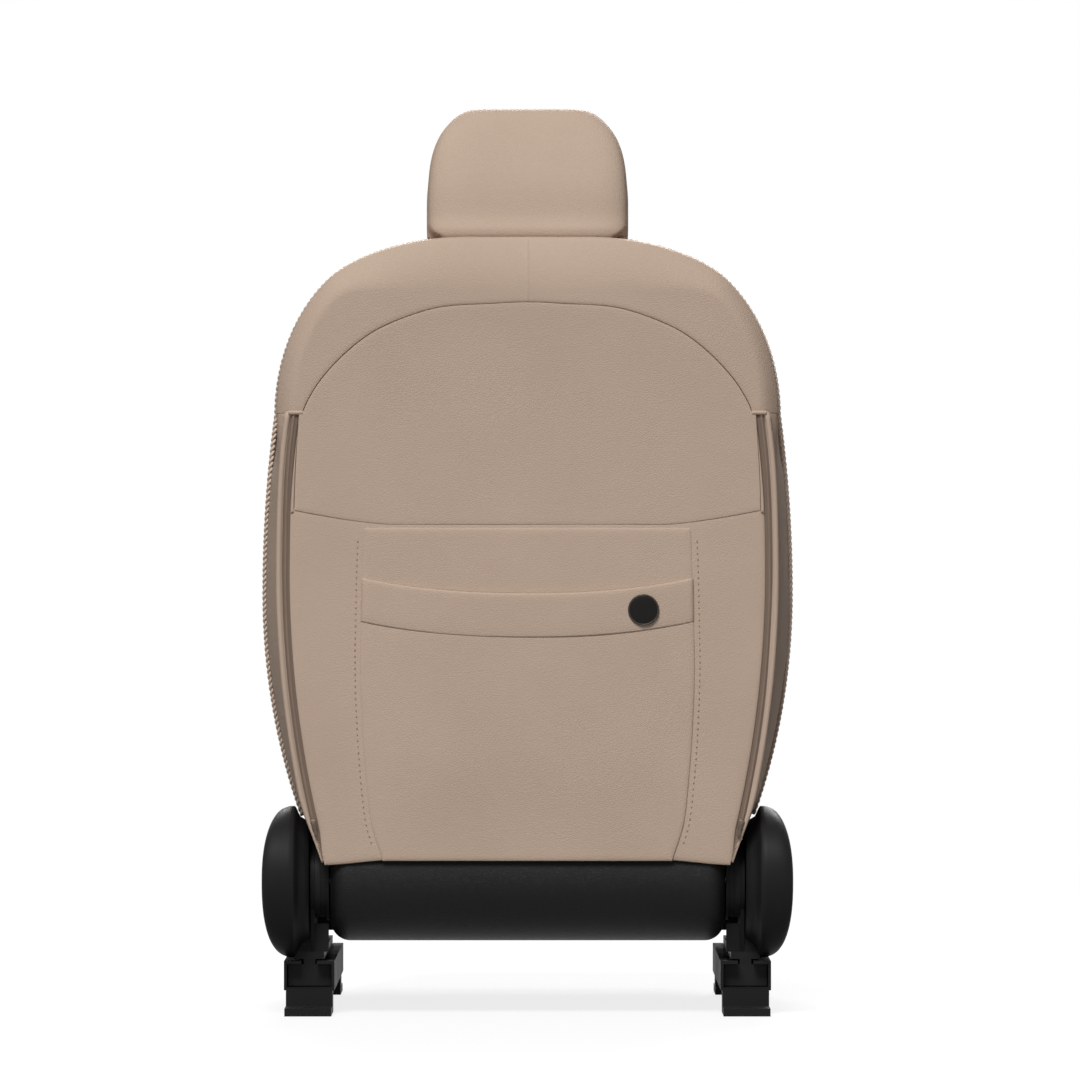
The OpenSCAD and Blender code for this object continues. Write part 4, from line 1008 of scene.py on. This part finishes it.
# The top is a square grid drawn out to the cushion's outline. For each ring of it: share of the way in from where the
# crown starts, inset and height. Channels are sewn along both sides and across the middle, with bolsters outside them
EDGE_SHARE = 0.88
CHANNEL_X, CHANNEL_Y = 128 * MM, 40 * MM
CROSS_CHANNELS = (70, 130, 190, 250)
SIDE_CHANNEL_SEAM, CROSS_CHANNEL_SEAM = (4.5 * MM, 6 * MM), (2.6 * MM, 6 * MM)
BOLSTER_RISE, BOLSTER_W = 7 * MM, 112 * MM
top_level = {0.0: (1.0, CROWN_MIDDLE, CROWN_ROWS[-1][1])}
for inset, z in CROWN_ROWS[:-1]:
    share = (inset - CROWN_START) / (CROWN_MIDDLE - CROWN_START)
    top_level[EDGE_SHARE * (1 - share)] = (share, CROWN_START, z)
for i, (inset, z) in enumerate(EDGE_ROWS[:-1]):
    top_level[1 - (1 - EDGE_SHARE) * i / (len(EDGE_ROWS) - 1)] = (0.0, inset, z)
radii = sorted(top_level)
marks = [-r for r in reversed(radii[1:])] + radii
top_rows = []
for v in marks:
    row = []
    for u in marks:
        rho = max(abs(u), abs(v))
        share, inset, level = top_level[rho]
        bx, by = (u / rho, v / rho) if rho else (0.0, 0.0)
        k = (abs(bx) ** 5 + abs(by) ** 5) ** -0.2 if rho else 0.0
        x = (CUSHION_HALF - inset * MM) * (1 - share) * bx * k
        y = CUSHION_MID + (CUSHION_LEN / 2 - inset * MM) * (1 - share) * by * k
        across, ahead = abs(x) - CHANNEL_X, y - CUSHION_REAR
        z = level * MM + cushion_rise(y, level * MM)
        if ahead > CHANNEL_Y:
            start = smooth((level - 297) / 9) * smooth((ahead - CHANNEL_Y) / (30 * MM))
            z -= dip_at(abs(across), SIDE_CHANNEL_SEAM) * start
        if across < 0:
            start = smooth((level - 304) / 6) * smooth(-across / (10 * MM))
            for at in CROSS_CHANNELS:
                z -= dip_at(abs(y - at * MM), CROSS_CHANNEL_SEAM) * start
        else:
            start = smooth(ahead / (70 * MM)) * smooth((level - 298) / 8)
            z += BOLSTER_RISE * math.sin(math.pi * min(1, across / BOLSTER_W)) * start
        row.append(Vector((x, y, z)))
    top_rows.append(row)
under = [[Vector((v.x * 0.985, mix(v.y, CUSHION_MID, 0.015), v.z - HIDE)) for v in row] for row in top_rows]
top_piece = beige_skin("cushion_top", top_rows, under, ("cushion_cover_top",), "seat_base")
PIPE_STEPS = 240
ring = [cushion_at(1 * MM, CUSHION_PIPE, 2 * math.pi * k / PIPE_STEPS) for k in range(PIPE_STEPS + 1)]
rope("cushion_seam_piping", ring, "seat_base", ("cushion_piping",), offset=1.9 * MM, radius=2.3 * MM, pitch=13.4 * MM)

# Black roll at the foot of the backrest
ROLL_R, ROLL_HALF, ROLL_END = 63 * MM, 203 * MM, 20 * MM
profile = [(9 * MM, -ROLL_HALF + 1 * MM), (ROLL_R - ROLL_END - 6 * MM, -ROLL_HALF)]
profile += [(ROLL_R - ROLL_END * (1 - math.sin(a)), -ROLL_HALF + ROLL_END * (1 - math.cos(a)))
            for a in steps(0, math.pi / 2, 12)]
profile += [(ROLL_R, x) for x in steps(-ROLL_HALF + ROLL_END + 8 * MM, 0, 20)]
profile += [(r, -h) for r, h in reversed(profile[:-1])]
roll = turned("rear_roll_cover", profile, PIVOT, Vector((1, 0, 0)),
              BLACK_HIDE, "seat_base", ("rear_roll",), 120)

# Side valances, smooth bowls round the recline axis that run on to a smaller round end in front
RIM_X = 243 * MM
VALANCE_R, FRONT_R = 76 * MM, 44 * MM
FRONT_Y, FRONT_Z = 146 * MM, 108 * MM
BULGE, FRONT_BULGE = 29.5 * MM, 13 * MM
BULGE_POWER = 2.4
DROP = 1.06


# A point of the bowl: f from rear to front, a round the outline and rho out to it. A depth above 0 is a share of the
# bulge, and one below 0 is a way in from the rim
def valance_at(f, a, rho, depth):
    r = mix(VALANCE_R, FRONT_R, f)
    drop = DROP if math.sin(a) < 0 and f < 0.02 else 1.0
    section = max(0.02, 1 - (rho * abs(math.sin(a))) ** BULGE_POWER) ** (1 / BULGE_POWER)
    x = depth if depth < 0 else depth * mix(BULGE, FRONT_BULGE, f) * section
    return Vector((RIM_X + x, mix(PIVOT.y, FRONT_Y, f) + rho * r * math.cos(a),
                   mix(PIVOT.z, FRONT_Z, f) + rho * r * drop * math.sin(a)))


spine = [(0.0, a) for a in steps(math.pi / 2, math.pi * 1.5, 48)] + [(f, math.pi * 1.5) for f in steps(0, 1, 16)[1:-1]]
spine += [(1.0, a) for a in steps(-math.pi / 2, math.pi / 2, 40)] + [(f, math.pi / 2) for f in steps(1, 0, 16)[1:-1]]
bowl = [(1, 0.12), (0.9995, 0.3), (0.998, 0.5), (0.994, 0.68), (0.986, 0.82), (0.973, 0.92), (0.953, 0.975), (0.92, 1)]
bowl += [(rho, 1) for rho in (0.86, 0.78, 0.68, 0.56, 0.43, 0.3, 0.17, 0.06)]
inner_rim = ((0.74, -13), (0.725, -17.5), (0.715, -18.5), (0.74, -18.3), (0.78, -17), (0.825, -12.5), (0.86, -8),
             (0.91, -6.2), (0.96, -4.6), (0.985, -3.4), (1, -2.5))
turns = [(rho * 0.96, depth * 0.9) for rho, depth in reversed(bowl)]
turns += [(rho, x * MM) for rho, x in inner_rim] + bowl
for side, name in SIDES:
    rings = []
    for rho, depth in turns:
        ring = [valance_at(f, a, rho, depth) for f, a in spine]
        for p in ring:
            p.x *= side
        rings.append(ring)
    loft("valance_" + name, rings, BLACK_PLASTIC, "seat_base", ("side_valance_" + name,))


# Nodes that show as they are: their finish, and edges that are broken a little
def pairs(*names):
    return tuple(name + "_" + side for name in names for _, side in SIDES)


FINISH = (
    (RAIL_STEEL, pairs("lower_rail", "rear_foot", "front_foot", "side_member", "back_frame_side")
     + ("front_cross_tube", "rear_cross_tube", "cushion_pan", "back_frame_top_tube", "back_frame_lower_tube",
        "sleeve_bracket")),
    (BRIGHT_STEEL, ("recliner_rod", "slide_bar", "back_spring_mat")),
    (DARK_STEEL, pairs("upper_rail", "recliner", "recliner_hub")),
    (CHROME, ("headrest_posts",)),
    (BLACK_PLASTIC, pairs("headrest_sleeve") + ("recline_lever", "headrest_button")),
)
for mat, names in FINISH:
    for name in names:
        node = nodes[name]
        node.data.materials.clear()
        node.data.materials.append(mat)
        bevel = node.modifiers.new("broken edges", "BEVEL")
        bevel.width = 0.8 * MM
        bevel.segments = 2
        bevel.limit_method = "ANGLE"
        bevel.angle_limit = math.radians(40)
        node.data.polygons.foreach_set("use_smooth", [True] * len(node.data.polygons))
        keep = node.modifiers.new("weighted", "WEIGHTED_NORMAL")
        keep.keep_sharp = True


# The rays that show what they meet: straight to the camera, off a gloss or through glass
def showing(tree, path):
    seen = add(tree, "Math", operation="MAXIMUM")
    link(tree, path, "Is Camera Ray", seen, 0)
    link(tree, path, "Is Glossy Ray", seen, 1)
    seen_too = add(tree, "Math", operation="MAXIMUM")
    link(tree, seen, "Value", seen_too, 0)
    link(tree, path, "Is Transmission Ray", seen_too, 1)
    return seen_too


# Floor: a white glow where it is seen, less of it near the seat, so that a little of the shadow shows. It is dark in
# the light that it throws back
WHITE = (1, 1, 1, 1)
FLOOR_SEEN, FLOOR_BOUNCE, FLOOR_GLOW = (0.86, 0.86, 0.86, 1), (0.1, 0.095, 0.09, 1), 0.82
FLOOR_HALF, FLOOR_Z = 12, -0.5 * MM


def floor_material():
    m, tree, bsdf = material("floor")
    put(bsdf, Roughness=0.9)
    glow = add(tree, "Emission", Strength=1.0, Color=WHITE)
    path = add(tree, "LightPath")
    tint = add(tree, "Mix", data_type="RGBA")
    tint.inputs[6].default_value = FLOOR_BOUNCE
    tint.inputs[7].default_value = FLOOR_SEEN
    link(tree, path, "Is Camera Ray", tint, 0)
    link(tree, tint, 2, bsdf, "Base Color")
    size = add(tree, "VectorMath", operation="LENGTH")
    link(tree, add(tree, "NewGeometry"), "Position", size, 0)
    far = ranged(tree, size, "Value", 0.4, 3.0, FLOOR_GLOW, 1.0)
    amount = add(tree, "Math", operation="MULTIPLY")
    link(tree, showing(tree, path), "Value", amount, 0)
    link(tree, far, "Result", amount, 1)
    both = add(tree, "MixShader")
    link(tree, amount, "Value", both, "Fac")
    link(tree, bsdf, "BSDF", both, 1)
    link(tree, glow, "Emission", both, 2)
    link(tree, both, "Shader", tree.nodes["Material Output"], "Surface")
    return m


scene = bpy.context.scene
corners = [(x * FLOOR_HALF, y * FLOOR_HALF, FLOOR_Z) for x, y in ((-1, -1), (1, -1), (1, 1), (-1, 1))]
mesh = bpy.data.meshes.new("floor")
mesh.from_pydata(corners, [], [(0, 1, 2, 3)])
mesh.materials.append(floor_material())
floor = bpy.data.objects.new("floor", mesh)
scene.collection.objects.link(floor)

# World: white where it is seen, and a weak warm light on everything
world = bpy.data.worlds.new("studio")
world.use_nodes = True
scene.world = world
tree = world.node_tree
ambient = put(tree.nodes["Background"], Color=(1, 0.84, 0.7, 1), Strength=0.035)
white = add(tree, "Background", Strength=1.0, Color=WHITE)
both = add(tree, "MixShader")
link(tree, showing(tree, add(tree, "LightPath")), "Value", both, "Fac")
link(tree, ambient, "Background", both, 1)
link(tree, white, "Background", both, 2)
link(tree, both, "Shader", tree.nodes["World Output"], "Surface")


# Lamps and camera
def lamp(name, place, target, size, power, glints=True):
    light = bpy.data.lights.new(name, "AREA")
    light.shape = "RECTANGLE"
    light.size, light.size_y = size
    light.energy = power
    obj = bpy.data.objects.new(name, light)
    obj.location = place
    obj.rotation_euler = (Vector(target) - Vector(place)).to_track_quat("-Z", "Y").to_euler()
    obj.visible_glossy = glints
    obj.visible_camera = False
    scene.collection.objects.link(obj)


lamp("key", (-1.5, -6.0, 7.6), (0, -0.2, 0.45), (4.2, 3.6), 1055)
lamp("fill", (0.5, 6.5, 5.0), (0, 0.1, 0.4), (4.0, 3.0), 780)
lamp("front", (0.0, -1.3, 0.16), (0, -0.2, 0.16), (1.2, 0.24), 2.5, False)

camera = bpy.data.cameras.new("camera")
camera.sensor_width = 36
camera.lens = 253
camera.clip_end = 100
eye = bpy.data.objects.new("camera", camera)
eye.location = (0.0129, -8.0, 0.488)
eye.rotation_euler = (math.pi / 2, 0, 0)
scene.collection.objects.link(eye)
scene.camera = eye
scene.view_settings.view_transform = "Standard"
